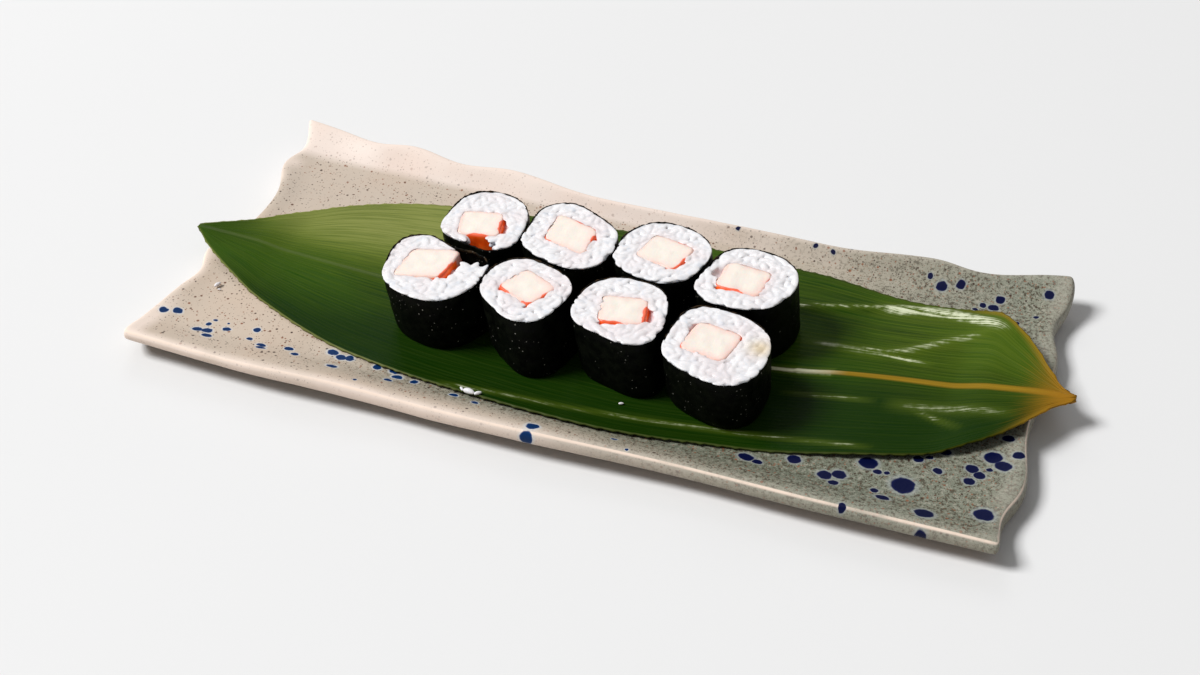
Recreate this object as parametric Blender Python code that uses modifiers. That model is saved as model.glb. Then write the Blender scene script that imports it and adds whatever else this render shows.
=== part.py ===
"""Eight maki rolls standing on a bamboo leaf, on a long rectangular stoneware plate.

The plate is a slab with both long edges turned up and both short ends cut in a soft
bracket line. The leaf lies lengthwise on it and hangs a little past both ends. Each roll
is three pieces that run through it from cut face to cut face: the seaweed wrap, the rice
and the crab stick. Units are metres, +X runs along the plate, +Z is up, and the origin is
the middle of the plate's flat underside.
"""

import math

import bmesh
import bpy
from mathutils import Matrix, Vector

MM = 0.001
TOUCH_GAP = 0.3 * MM  # what two touching pieces keep between them

# Plate
PLATE_HALF_LENGTH = 130.5 * MM
PLATE_THICKNESS = 6.0 * MM
PLATE_EDGE_ROUNDING = 2.3 * MM
FRONT_CREASE = -47.5 * MM
BACK_CREASE = 46.0 * MM
FLOOR_CELLS = 8  # cells across the flat floor
FLANGE_CELLS = 3  # cells across each turned-up edge
LENGTH_CELLS = 48
END_ZONE = 0.82  # share of the half length where the bracket line of the ends begins
END_RISE = 1.2 * MM
END_RISE_WIDTH = 11.0 * MM

# Lines of (place, value) in mm that the slab's outline and its rims pass through.
FRONT_EDGE_LINE = ((-131, -60.5), (-90, -62), (-50, -61), (-8, -61.6), (42, -59.8), (86, -60.4), (131, -59.6))
FRONT_RIM_LINE = ((-131, 10.2), (-100, 9.8), (-70, 10.5), (-38, 9.6), (0, 10.3), (50, 9.9), (95, 10.4), (131, 10.0))
BACK_EDGE_LINE = (
    (-131, 61), (-118, 59.5), (-103, 56), (-90, 57.5), (-72, 54.5), (-54, 56), (-28, 52.5),
    (2, 52.5), (34, 53), (64, 53), (90, 56), (104, 55), (122, 59.5), (131, 60.5),
)
BACK_RIM_LINE = (
    (-131, 12.8), (-112, 11.6), (-88, 12.8), (-70, 11.4), (-52, 12.2), (-20, 10.8), (20, 10.6),
    (60, 10.4), (92, 11.2), (110, 9.8), (131, 12.0),
)
RIGHT_END_LINE = (
    (-61, -0.5), (-56, 0.8), (-46, -0.8), (-28, 2.4), (-8, -1.0), (20, 2.6), (38, -1.6), (52, 1.0), (61, 0.6),
)
LEFT_END_LINE = (
    (-61, 0.8), (-55, 2.2), (-38, -0.2), (-25, -2.8), (-14, -0.4), (6, -5.6), (26, -4.2),
    (42, 1.4), (51, -1.6), (61, 1.4),
)

# Leaf
LEAF_THICKNESS = 0.6 * MM
LEAF_CELLS = (44, 10)
LEAF_TIP_X = -139.0 * MM
LEAF_STALK_X = 141.0 * MM
LEAF_FRONT_LINE = (
    (-139, -5), (-128, -13), (-117, -21), (-96, -34), (-75, -43), (-43, -50), (0, -52.5),
    (48, -47.5), (79, -39), (104, -29.5), (121, -18), (129, -8.5), (135, -1.5), (141, 5),
)
LEAF_BACK_LINE = (
    (-139, -3.4), (-125, 5.5), (-106, 19), (-88, 30), (-68, 36), (-30, 41), (10, 43),
    (52, 43), (81, 41), (103, 38), (116, 34), (124, 26), (131, 16), (136, 10), (141, 6.6),
)
LEAF_MIDRIB_LINE = ((-139, -4.2), (-90, -6), (-20, -9), (50, -9), (86, -3.5), (118, 3), (141, 5.8))
LEAF_FLAT_HALF_LENGTH = 66.0 * MM
LEAF_FRONT_FOLD = -43.0 * MM
LEAF_FOLD_CLEARANCE = 0.6 * MM  # extra room over the turned-up edge
LEAF_END_CLIMB = 106.0 * MM  # where the leaf starts to rise over the plate's ends

# Rolls, lengths in mm and directions in degrees. The outline is a circle with a swell that
# comes twice, three times and four times round it, each given as (share of radius, direction).
# The foot stands off from under the top face because the pieces were cut a little aslant.
ROLLS = {
    "front_1": dict(
        centre=(-47.2, -21.2), top=27.7, radius=15.4, swells=((0.086, -19), (0.083, 20), (0.056, 35)),
        foot=(1.9, 1.4), stick_offset=(-2.4, 1.4), stick=(15.2, 14.0), stick_turn=10,
    ),
    "front_2": dict(
        centre=(-17.1, -21.8), top=28.5, radius=13.9, swells=((0.064, -52), (0.045, 41), (0.043, 23)),
        foot=(3.2, -0.8), stick_offset=(0.6, 0.4), stick=(13.4, 12.2), stick_turn=-26,
    ),
    "front_3": dict(
        centre=(13.0, -21.4), top=28.5, radius=14.7, swells=((0.047, -50), (0.057, -49), (0.045, 41)),
        foot=(2.6, 0.4), stick_offset=(0.6, -0.8), stick=(14.0, 12.6), stick_turn=12,
    ),
    "front_4": dict(
        centre=(43.2, -26.1), top=27.2, radius=16.2, swells=((0.068, -56), (0.006, -30), (0.048, 34)),
        foot=(0.8, 2.8), stick_offset=(-1.8, 0.4), stick=(14.6, 14.0), stick_turn=-9,
    ),
    "back_1": dict(
        centre=(-41.0, 5.8), top=28.5, radius=14.3, swells=((0.074, -75), (0.025, -37), (0.033, 41)),
        foot=(2.0, 0.6), stick_offset=(-0.8, -2.6), stick=(13.2, 12.4), stick_turn=12,
    ),
    "back_2": dict(
        centre=(-13.9, 6.7), top=28.7, radius=15.4, swells=((0.087, -44), (0.021, -12), (0.042, 30)),
        foot=(2.2, 0.4), stick_offset=(0.2, 0.4), stick=(15.4, 13.6), stick_turn=-16,
    ),
    "back_3": dict(
        centre=(15.1, 8.8), top=28.4, radius=14.9, swells=((0.007, 64), (0.011, -59), (0.029, 29)),
        foot=(2.2, 0.4), stick_offset=(1.0, -0.2), stick=(14.6, 13.0), stick_turn=-12,
    ),
    "back_4": dict(
        centre=(43.0, 4.7), top=28.3, radius=14.9, swells=((0.056, 58), (0.030, -7), (0.037, 38)),
        foot=(2.0, 0.8), stick_offset=(-0.9, -0.8), stick=(14.4, 13.0), stick_turn=-6,
    ),
}
# Rolls whose rice ring is broken: direction of the break and half of its spread, in degrees.
RICE_BREAKS = {"front_1": (46, 17), "back_1": (-92, 24)}
BREAK_REACH = 26.0 * MM

ROLL_BASE = PLATE_THICKNESS + LEAF_THICKNESS + 2 * TOUCH_GAP
FOOT_SHARE = 0.97  # the foot's radius against the top face's
NORI_THICKNESS = 0.6 * MM
NORI_TOP_DROP = 0.6 * MM  # the seaweed's edge stands this far under the cut rice
STICK_TOP_DROP = 0.2 * MM
STICK_CORNER = 1.6 * MM
ROLL_SIDES = 40
FLATTENING = 0.9 * MM  # width of the soft change from round side to flattened contact
CUTTER_OVERSHOOT = 3.0 * MM


# ---------------------------------------------------------------- helpers


def clear_scene():
    for item in list(bpy.data.objects):
        bpy.data.objects.remove(item)


def material(name, colour, roughness):
    made = bpy.data.materials.new(name)
    made.use_nodes = True
    shader = made.node_tree.nodes["Principled BSDF"]
    shader.inputs["Base Color"].default_value = (*colour, 1.0)
    shader.inputs["Roughness"].default_value = roughness
    shader.inputs["Metallic"].default_value = 0.0
    return made


def add_object(name, mesh_data, finish, group):
    made = bpy.data.objects.new(name, mesh_data)
    made.data.materials.append(finish)
    group.objects.link(made)
    return made


def as_mesh(name, shape):
    mesh_data = bpy.data.meshes.new(name)
    shape.to_mesh(mesh_data)
    shape.free()
    return mesh_data


def smooth_step(share):
    share = min(1.0, max(0.0, share))
    return share * share * (3.0 - 2.0 * share)


def along(line, place):
    """Value at place, in metres, of a smooth curve through a line of (place, value) in mm."""
    at = min(max(place / MM, line[0][0]), line[-1][0])
    i = 0
    while i < len(line) - 2 and at > line[i + 1][0]:
        i += 1
    x0, y0 = line[max(i - 1, 0)]
    x1, y1 = line[i]
    x2, y2 = line[i + 1]
    x3, y3 = line[min(i + 2, len(line) - 1)]
    span = x2 - x1
    t = (at - x1) / span
    rise_in = span * (y2 - y0) / (x2 - x0)
    rise_out = span * (y3 - y1) / (x3 - x1)
    value = (
        (2 * t**3 - 3 * t**2 + 1) * y1
        + (t**3 - 2 * t**2 + t) * rise_in
        + (3 * t**2 - 2 * t**3) * y2
        + (t**3 - t**2) * rise_out
    )
    return value * MM


def grid_mesh(name, cells, place):
    """A grid primitive whose points are moved by place(u, v), with u and v from -1 to 1."""
    sheet = bmesh.new()
    bmesh.ops.create_grid(sheet, x_segments=cells[0], y_segments=cells[1], size=1.0)
    for point in sheet.verts:
        point.co = place(point.co.x, point.co.y)
    return as_mesh(name, sheet)


def solidify(target, thickness, offset):
    shell = target.modifiers.new("thickness", "SOLIDIFY")
    shell.thickness = thickness
    shell.offset = offset
    shell.use_even_offset = True


def shade_smooth(target):
    target.data.shade_smooth()
    target.data.set_sharp_from_angle(angle=math.radians(40))


# ---------------------------------------------------------------- plate


def across_plate(x, v):
    """y of the slab at x, with v from -1 at the front edge to 1 at the back edge."""
    floor_share = FLOOR_CELLS / (FLOOR_CELLS + 2 * FLANGE_CELLS)
    beyond = (abs(v) - floor_share) / (1.0 - floor_share)
    if beyond <= 0.0:
        return FRONT_CREASE + (v / floor_share + 1.0) / 2.0 * (BACK_CREASE - FRONT_CREASE)
    if v < 0.0:
        return FRONT_CREASE + beyond * (along(FRONT_EDGE_LINE, x) - FRONT_CREASE)
    return BACK_CREASE + beyond * (along(BACK_EDGE_LINE, x) - BACK_CREASE)


def plate_height(x, y):
    """Height of the slab's upper side: a flat floor between turned-up edges."""
    end_rise = END_RISE * smooth_step((abs(x) - PLATE_HALF_LENGTH + END_RISE_WIDTH) / END_RISE_WIDTH)
    flange_share = 0.0
    rise = 0.0
    if y > BACK_CREASE:
        flange_share = (y - BACK_CREASE) / (along(BACK_EDGE_LINE, x) - BACK_CREASE)
        rise = along(BACK_RIM_LINE, x) - PLATE_THICKNESS
    elif y < FRONT_CREASE:
        flange_share = (FRONT_CREASE - y) / (FRONT_CREASE - along(FRONT_EDGE_LINE, x))
        rise = along(FRONT_RIM_LINE, x) - PLATE_THICKNESS
    lift = rise * (0.45 * flange_share + 0.55 * smooth_step(flange_share))
    return PLATE_THICKNESS + max(lift, end_rise)


def plate_point(u, v):
    x = u * PLATE_HALF_LENGTH
    y = across_plate(x, v)
    end_line = RIGHT_END_LINE if u > 0 else LEFT_END_LINE
    pull = smooth_step((abs(u) - END_ZONE) / (1.0 - END_ZONE)) * along(end_line, y)
    return Vector((x + math.copysign(pull, u * pull), y, plate_height(x, y)))


def make_plate(group):
    glaze = material("speckled_glaze", (0.62, 0.53, 0.43), 0.25)
    cells = (LENGTH_CELLS, FLOOR_CELLS + 2 * FLANGE_CELLS)
    slab = add_object("plate", grid_mesh("plate", cells, plate_point), glaze, group)
    solidify(slab, PLATE_THICKNESS, -1.0)
    rounding = slab.modifiers.new("edge rounding", "BEVEL")
    rounding.width = PLATE_EDGE_ROUNDING
    rounding.segments = 2
    rounding.limit_method = "ANGLE"
    rounding.angle_limit = math.radians(60)
    shade_smooth(slab)


# ---------------------------------------------------------------- leaf


def leaf_height(x, y):
    """Height of the leaf's underside: flat under the rolls, rippled and lifted outside them."""
    side = (y - along(LEAF_MIDRIB_LINE, x)) / (48 * MM)
    outside = smooth_step((abs(x) - LEAF_FLAT_HALF_LENGTH) / (45 * MM))
    ripple = 0.5 * MM * outside * (1.0 + math.sin(9.0 * side + x / (30 * MM)))
    lift = 0.0
    if x > 0:
        shoulder = smooth_step((x - 78 * MM) / (40 * MM)) * smooth_step(side / 0.55)
        margin = smooth_step((x - 60 * MM) / (30 * MM)) * smooth_step(-side / 0.6)
        stalk = smooth_step((x - 100 * MM) / (38 * MM))
        lift = (4.2 * shoulder + 0.9 * margin + 1.6 * stalk) * MM
    fold = LEAF_FOLD_CLEARANCE * smooth_step((LEAF_FRONT_FOLD - y) / (5 * MM))
    over_end = END_RISE * smooth_step((abs(x) - LEAF_END_CLIMB) / (12 * MM))
    below = max(plate_height(x, y), PLATE_THICKNESS + over_end)
    return below + TOUCH_GAP + fold + ripple + lift


def leaf_point(u, v):
    x = LEAF_TIP_X + (u + 1) / 2 * (LEAF_STALK_X - LEAF_TIP_X)
    front = along(LEAF_FRONT_LINE, x)
    back = along(LEAF_BACK_LINE, x)
    rib = min(max(along(LEAF_MIDRIB_LINE, x), front + 0.3 * MM), back - 0.3 * MM)
    y = rib + v * ((back - rib) if v > 0 else (rib - front))
    return Vector((x, y, leaf_height(x, y)))


def make_leaf(group):
    green = material("bamboo_leaf", (0.05, 0.17, 0.02), 0.35)
    leaf = add_object("leaf", grid_mesh("leaf", LEAF_CELLS, leaf_point), green, group)
    solidify(leaf, LEAF_THICKNESS, 1.0)
    shade_smooth(leaf)


# ---------------------------------------------------------------- rolls


def centre_at(roll, level):
    """Centre of a roll at a level from 0, its foot, to 1, its top face."""
    return (Vector(roll["centre"]) + (1 - level) * Vector(roll["foot"])) * MM


def soft_min(a, b, width):
    """The smaller of two lengths, rounded off where they are nearly equal."""
    share = max(0.0, width - abs(a - b)) / width
    return min(a, b) - share * share * width / 4


def outline(roll, angle, level):
    """Distance from a roll's centre to its outside, flattened where a neighbour presses."""
    swell = sum(
        share * math.cos(times * (angle - math.radians(direction)))
        for times, (share, direction) in enumerate(roll["swells"], start=2)
    )
    reach = roll["radius"] * MM * (1.0 + swell) * (FOOT_SHARE + (1.0 - FOOT_SHARE) * level)
    for other in ROLLS.values():
        to_other = centre_at(other, level) - centre_at(roll, level)
        both = (roll["radius"] + other["radius"]) * MM
        if other is roll or to_other.length > both + 4 * MM:
            continue
        facing = math.cos(angle - math.atan2(to_other.y, to_other.x))
        if facing > 0.3:
            share = roll["radius"] * MM / both
            wall = to_other.length * share - 0.6 * TOUCH_GAP
            reach = soft_min(reach, wall / facing, FLATTENING)
    return reach


def drum_mesh(name, roll, inset, top, capped):
    """A cylinder primitive reshaped to the roll's outline, less an inset."""
    drum = bmesh.new()
    bmesh.ops.create_cone(
        drum, cap_ends=capped, segments=ROLL_SIDES, radius1=1.0, radius2=1.0, depth=1.0
    )
    for point in drum.verts:
        level = point.co.z + 0.5
        angle = math.atan2(point.co.y, point.co.x)
        reach = outline(roll, angle, level) - inset
        centre = centre_at(roll, level)
        point.co.x = centre.x + reach * math.cos(angle)
        point.co.y = centre.y + reach * math.sin(angle)
        point.co.z = ROLL_BASE + level * (top - ROLL_BASE)
    return as_mesh(name, drum)


def stand_in_roll(shape, roll, base, top):
    """Moves an upright shape of height 1 into a roll, turned with its stick and leaning as it does."""
    turn = Matrix.Rotation(math.radians(roll["stick_turn"]), 2)
    offset = Vector(roll["stick_offset"]) * MM
    for point in shape.verts:
        height = base + point.co.z * (top - base)
        level = (height - ROLL_BASE) / (roll["top"] * MM - ROLL_BASE)
        place = centre_at(roll, level) + offset + turn @ Vector((point.co.x, point.co.y))
        point.co = (place.x, place.y, height)


def stick_mesh(name, roll, grow, base, top):
    """A bar with rounded corners, the size of the crab stick and a little more on each side."""
    width, depth = (side * MM + 2 * grow for side in roll["stick"])
    bar = bmesh.new()
    bmesh.ops.create_cube(bar, size=1.0)
    bmesh.ops.scale(bar, verts=bar.verts, vec=(width, depth, 1.0))
    bmesh.ops.translate(bar, verts=bar.verts, vec=(0.0, 0.0, 0.5))
    uprights = [e for e in bar.edges if abs(e.verts[0].co.z - e.verts[1].co.z) > 0.5]
    bmesh.ops.bevel(
        bar, geom=uprights, offset=STICK_CORNER + grow, segments=3, profile=0.5, affect="EDGES"
    )
    stand_in_roll(bar, roll, base, top)
    return as_mesh(name, bar)


def wedge_mesh(name, roll, base, top):
    """A wedge that starts at the middle of the crab stick and opens outwards."""
    direction, half_spread = RICE_BREAKS[roll["name"]]
    wedge = bmesh.new()
    bmesh.ops.create_cone(wedge, cap_ends=True, segments=3, radius1=1.0, radius2=1.0, depth=1.0)
    bmesh.ops.translate(wedge, verts=wedge.verts, vec=(0.0, 0.0, 0.5))
    half_width = BREAK_REACH * math.tan(math.radians(half_spread))
    turn = Matrix.Rotation(math.radians(direction - roll["stick_turn"]), 2)
    for point in wedge.verts:
        # The primitive's first corner is the one on +Y; it becomes the wedge's point.
        across = half_width * point.co.x / math.sin(math.radians(60))
        outwards = BREAK_REACH * (1.0 - point.co.y) / 1.5
        flat = turn @ Vector((outwards, across))
        point.co.x = flat.x
        point.co.y = flat.y
    bmesh.ops.recalc_face_normals(wedge, faces=wedge.faces)
    stand_in_roll(wedge, roll, base, top)
    return as_mesh(name, wedge)


def cut(target, name, mesh_data, cutters):
    tool = bpy.data.objects.new(name, mesh_data)
    tool.hide_render = True
    tool.display_type = "WIRE"
    cutters.objects.link(tool)
    boolean = target.modifiers.new(name, "BOOLEAN")
    boolean.operation = "DIFFERENCE"
    boolean.solver = "EXACT"
    boolean.object = tool


def make_roll(roll, finishes, group, cutters):
    name = roll["name"]
    top = roll["top"] * MM
    wrap = drum_mesh("nori", roll, 0.0, top - NORI_TOP_DROP, capped=False)
    nori = add_object("nori_" + name, wrap, finishes["nori"], group)
    solidify(nori, NORI_THICKNESS, -1.0)
    shade_smooth(nori)

    packed = drum_mesh("rice", roll, NORI_THICKNESS + TOUCH_GAP, top, capped=True)
    rice = add_object("rice_" + name, packed, finishes["rice"], group)
    low = ROLL_BASE - CUTTER_OVERSHOOT
    high = top + CUTTER_OVERSHOOT
    cut(rice, "hollow_" + name, stick_mesh("hollow", roll, TOUCH_GAP, low, high), cutters)
    if name in RICE_BREAKS:
        cut(rice, "break_" + name, wedge_mesh("break", roll, low, high), cutters)
    shade_smooth(rice)

    bar = stick_mesh("stick", roll, 0.0, ROLL_BASE, top - STICK_TOP_DROP)
    stick = add_object("crab_stick_" + name, bar, finishes["stick"], group)
    shade_smooth(stick)


# ---------------------------------------------------------------- assembly


def main():
    clear_scene()
    group = bpy.data.collections.new("maki_platter")
    cutters = bpy.data.collections.new("cutters")
    bpy.context.scene.collection.children.link(group)
    bpy.context.scene.collection.children.link(cutters)
    finishes = {
        "nori": material("nori", (0.012, 0.014, 0.010), 0.55),
        "rice": material("rice", (0.86, 0.86, 0.84), 0.4),
        "stick": material("crab_stick", (0.90, 0.66, 0.58), 0.4),
    }
    make_plate(group)
    make_leaf(group)
    for name, roll in ROLLS.items():
        roll["name"] = name
        make_roll(roll, finishes, group, cutters)


main()
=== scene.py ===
# %% [markdown]
# # Maki rolls on a speckled plate
# Eight thin rolls stand on a bamboo leaf, and the leaf lies on a long stoneware plate. The
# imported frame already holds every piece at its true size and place. This lesson keeps those
# sizes and gives each piece the surface that a maker would look for: a pooled glaze with
# cobalt drops, a veined leaf, crinkled nori, grains of rice and the fibres of crab stick.

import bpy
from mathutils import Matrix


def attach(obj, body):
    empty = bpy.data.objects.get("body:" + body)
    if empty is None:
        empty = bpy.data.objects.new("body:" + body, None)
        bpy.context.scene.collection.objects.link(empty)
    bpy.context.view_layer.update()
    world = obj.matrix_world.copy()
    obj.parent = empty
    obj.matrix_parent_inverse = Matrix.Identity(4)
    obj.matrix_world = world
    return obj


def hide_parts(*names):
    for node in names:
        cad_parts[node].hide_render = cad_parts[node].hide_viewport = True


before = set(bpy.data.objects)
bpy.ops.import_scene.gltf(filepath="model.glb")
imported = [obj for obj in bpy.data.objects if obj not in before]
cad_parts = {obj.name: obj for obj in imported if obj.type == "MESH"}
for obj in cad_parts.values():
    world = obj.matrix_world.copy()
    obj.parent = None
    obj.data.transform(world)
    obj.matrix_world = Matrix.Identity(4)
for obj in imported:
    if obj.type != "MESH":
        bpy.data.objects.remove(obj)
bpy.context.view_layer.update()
print("nodes in the frame:", len(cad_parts))

# %% Imports and units
import math
import random

import bmesh
import bpy
import numpy as np
from mathutils import Matrix, Vector, noise

MM = 0.001
print("lengths below are in millimetres until a mesh is made")

# %% [markdown]
# ## Small helpers
# Three things are needed all the time. One is a smooth curve through a short line of
# measured places, such as a rim's height along the plate. One is a flat grid whose points are
# moved by a rule, which makes sheets, and tubes or bodies when the grid is rolled up. The last
# is soft noise, so that nothing handmade comes out perfectly even.

# %% Curves and soft steps
def smooth_step(share):
    share = np.clip(share, 0.0, 1.0)
    return share * share * (3.0 - 2.0 * share)


def along(line, place):
    """Values at place, an array, of a smooth curve through a line of (place, value)."""
    stops, values = np.array(line, float).T
    at = np.clip(np.asarray(place, float), stops[0], stops[-1])
    i = np.clip(np.searchsorted(stops, at, side="left") - 1, 0, len(stops) - 2)
    before = np.maximum(i - 1, 0)
    after = np.minimum(i + 2, len(stops) - 1)
    span = stops[i + 1] - stops[i]
    t = (at - stops[i]) / span
    rise_in = span * (values[i + 1] - values[before]) / (stops[i + 1] - stops[before])
    rise_out = span * (values[after] - values[i]) / (stops[after] - stops[i])
    return (
        (2 * t**3 - 3 * t**2 + 1) * values[i]
        + (t**3 - 2 * t**2 + t) * rise_in
        + (3 * t**2 - 2 * t**3) * values[i + 1]
        + (t**3 - t**2) * rise_out
    )


def soft_noise(points, grain, seed):
    """Smooth noise from -1 to 1 at points in mm, with bumps about grain mm apart."""
    shift = Vector((seed * 17.3, seed * 5.9, seed * 31.7))
    return np.array([noise.noise(Vector(p) / grain + shift) for p in points])


def ring_points(angle, radius, height):
    """Points round an upright tube, one row each, for noise that shows no seam."""
    return np.stack((np.cos(angle) * radius, np.sin(angle) * radius, height), axis=1)


def degrees_off(angle, direction):
    """How far angles are from a direction in degrees, whichever way round is shorter."""
    return np.abs(np.degrees(np.angle(np.exp(1j * (angle - math.radians(direction))))))


print("half way up a soft step:", float(smooth_step(0.5)))

# %% Grids moved by a rule
def grid_mesh(name, cells, place):
    """A grid whose points go to place(u, v), u and v from -1 to 1; place gives mm, in columns."""
    sheet = bmesh.new()
    bmesh.ops.create_grid(sheet, x_segments=cells[0], y_segments=cells[1], size=1.0)
    made = bpy.data.meshes.new(name)
    sheet.to_mesh(made)
    sheet.free()
    corners = np.empty(len(made.vertices) * 3)
    made.vertices.foreach_get("co", corners)
    u, v = corners.reshape(-1, 3)[:, :2].T
    made.vertices.foreach_set("co", (place(u, v) * MM).ravel())
    return made


def rolled_up(made, closed=True):
    """Joins a rolled-up grid where its edges meet, and turns its faces outwards."""
    body = bmesh.new()
    body.from_mesh(made)
    bmesh.ops.remove_doubles(body, verts=body.verts, dist=0.01 * MM)
    if closed:
        bmesh.ops.dissolve_degenerate(body, edges=body.edges, dist=0.001 * MM)
        open_edges = [edge for edge in body.edges if edge.is_boundary]
        if open_edges:
            bmesh.ops.holes_fill(body, edges=open_edges, sides=0)
    bmesh.ops.recalc_face_normals(body, faces=body.faces)
    body.to_mesh(made)
    body.free()
    return made


print("a grid can be a sheet, a tube or a closed body")

# %% Points and marks
def points_of(made):
    """The points of a mesh in mm, one row each."""
    corners = np.empty(len(made.vertices) * 3)
    made.vertices.foreach_get("co", corners)
    return corners.reshape(-1, 3) / MM


def move_points(made, points):
    """Gives a mesh new points, in mm."""
    made.vertices.foreach_set("co", (points * MM).ravel())
    made.update()


def mark(made, name, values):
    """Writes one number per point, for a material to read."""
    layer = made.attributes.new(name, "FLOAT", "POINT")
    layer.data.foreach_set("value", np.asarray(values, np.float32))


print("marks are read again by the materials")

# %% Adding a piece
def add_piece(name, made, finish, nodes):
    """Puts a mesh into the scene as a piece that stands for CAD nodes."""
    made.materials.clear()
    made.materials.append(finish)
    made.shade_smooth()
    piece = bpy.data.objects.new(name, made)
    bpy.context.scene.collection.objects.link(piece)
    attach(piece, "root")
    if nodes:
        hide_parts(*nodes)
    return piece


print("every piece rides on the one body, root")

# %% [markdown]
# ## Building materials with nodes
# Each finish is a Principled shader fed by noise, cells and masks. Writing node trees by hand
# in code is wordy, so one helper adds a node, sets its options and plugs in its sockets.
# Effects that several finishes share are made once, as node groups with named sockets.

# %% Node helpers
def add_node(tree, kind, sockets=None, **options):
    """Adds a node. A socket's value is another node's output or a plain value."""
    made = tree.nodes.new(kind)
    for option, value in options.items():
        setattr(made, option, value)
    for socket, value in (sockets or {}).items():
        if isinstance(value, bpy.types.NodeSocket):
            tree.links.new(value, made.inputs[socket])
        else:
            made.inputs[socket].default_value = value
    return made


def maths(tree, operation, a, b=0.0, c=0.0):
    made = add_node(tree, "ShaderNodeMath", {0: a, 1: b, 2: c}, operation=operation)
    return made.outputs[0]


def times(tree, *factors):
    """Multiplies two or more values, the first two first."""
    product = factors[0]
    for factor in factors[1:]:
        product = maths(tree, "MULTIPLY", product, factor)
    return product


def vector_maths(tree, operation, sockets):
    made = add_node(tree, "ShaderNodeVectorMath", sockets, operation=operation)
    return made.outputs["Value" if operation == "LENGTH" else "Vector"]


print("sums and products with nodes")

# %% Masks, colours, noise and marks
def ramp(tree, value, low, high, start=0.0, end=1.0):
    """Carries value from low..high to start..end with soft ends."""
    made = add_node(
        tree, "ShaderNodeMapRange",
        {"Value": value, "From Min": low, "From Max": high, "To Min": start, "To Max": end},
        interpolation_type="SMOOTHSTEP",
    )
    return made.outputs["Result"]


def blend_colours(tree, mask, a, b, way="MIX"):
    """Goes from colour a to colour b as mask goes from 0 to 1."""
    first = (*a, 1.0) if isinstance(a, tuple) else a
    second = (*b, 1.0) if isinstance(b, tuple) else b
    made = add_node(
        tree, "ShaderNodeMix", {0: mask, 6: first, 7: second}, data_type="RGBA", blend_type=way
    )
    return made.outputs[2]


def noise_at(tree, place, scale, detail=2.0, roughness=0.5):
    return add_node(tree, "ShaderNodeTexNoise", {
        "Vector": place, "Scale": scale, "Detail": detail, "Roughness": roughness,
    }).outputs["Fac"]


def read_mark(tree, name):
    """Reads the numbers that mark() wrote on the mesh."""
    return add_node(tree, "ShaderNodeAttribute", attribute_name=name).outputs["Fac"]


print("masks run from 0 to 1")

# %% Groups
def new_group(name, inputs, outputs):
    """A node group; inputs and outputs say the name and kind of each socket."""
    tree = bpy.data.node_groups.new(name, "ShaderNodeTree")
    for in_out, sockets in (("INPUT", inputs), ("OUTPUT", outputs)):
        for label, kind in sockets.items():
            tree.interface.new_socket(label, in_out=in_out, socket_type="NodeSocket" + kind)
    return tree, tree.nodes.new("NodeGroupInput").outputs, tree.nodes.new("NodeGroupOutput").inputs


def use_group(tree, group, sockets):
    return add_node(tree, "ShaderNodeGroup", sockets, node_tree=group).outputs


print("a group is made once and used in many finishes")

# %% Finishes

def new_finish(name, **constants):
    """A material with its Principled shader; constants go straight on the shader's sockets."""
    made = bpy.data.materials.new(name)
    made.use_nodes = True
    shader = made.node_tree.nodes["Principled BSDF"]
    for label, value in constants.items():
        shader.inputs[label.replace("_", " ")].default_value = value
    place = made.node_tree.nodes.new("ShaderNodeTexCoord").outputs["Object"]
    return made, made.node_tree, shader, place


def add_bump(tree, shader, height, strength, distance):
    bump = add_node(tree, "ShaderNodeBump", {
        "Height": height, "Strength": strength, "Distance": distance * MM,
    })
    tree.links.new(bump.outputs["Normal"], shader.inputs["Normal"])


print("finish helpers ready")

# %% [markdown]
# ### Shared effects
# - **specks** scatters round dots: iron flecks in a glaze, painted glints on nori, all the same idea of
#   one dot in some of the cells of a cell pattern.
# - **streaks** is noise pulled long in one direction: leaf veins and fish-paste fibres.
# - **unevenness** is the fine height that any real surface has, and it feeds a Bump node.

# %% Group: specks
specks, given, result = new_group(
    "specks",
    {"Place": "Vector", "Cells per metre": "Float", "Dot radius": "Float", "Share": "Float"},
    {"Mask": "Float", "Chance": "Float"},
)
cells = add_node(
    specks, "ShaderNodeTexVoronoi",
    {"Vector": given["Place"], "Scale": given["Cells per metre"], "Randomness": 1.0},
    feature="F1",
)
chance = add_node(specks, "ShaderNodeSeparateColor", {"Color": cells.outputs["Color"]}).outputs
# A dot's own size varies between half and the whole of the radius.
own_size = maths(specks, "MULTIPLY_ADD", chance["Green"], 0.5, 0.5)
reach = times(specks, given["Dot radius"], own_size)
reach = times(specks, reach, given["Cells per metre"])
inner = times(specks, reach, 0.6)
dot = add_node(
    specks, "ShaderNodeMapRange",
    {"Value": cells.outputs["Distance"], "From Min": inner, "From Max": reach,
     "To Min": 1.0, "To Max": 0.0},
).outputs["Result"]
chosen = maths(specks, "LESS_THAN", chance["Red"], given["Share"])
specks.links.new(times(specks, dot, chosen), result["Mask"])
specks.links.new(chance["Blue"], result["Chance"])
print("group", specks.name)

# %% Group: streaks
streaks, given, result = new_group(
    "streaks",
    {"Place": "Vector", "Stretch": "Vector", "Scale": "Float"},
    {"Value": "Float"},
)
pulled = vector_maths(streaks, "MULTIPLY", {0: given["Place"], 1: given["Stretch"]})
long_noise = noise_at(streaks, pulled, given["Scale"], 4.0, 0.6)
streaks.links.new(ramp(streaks, long_noise, 0.3, 0.7), result["Value"])
print("group", streaks.name)

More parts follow.
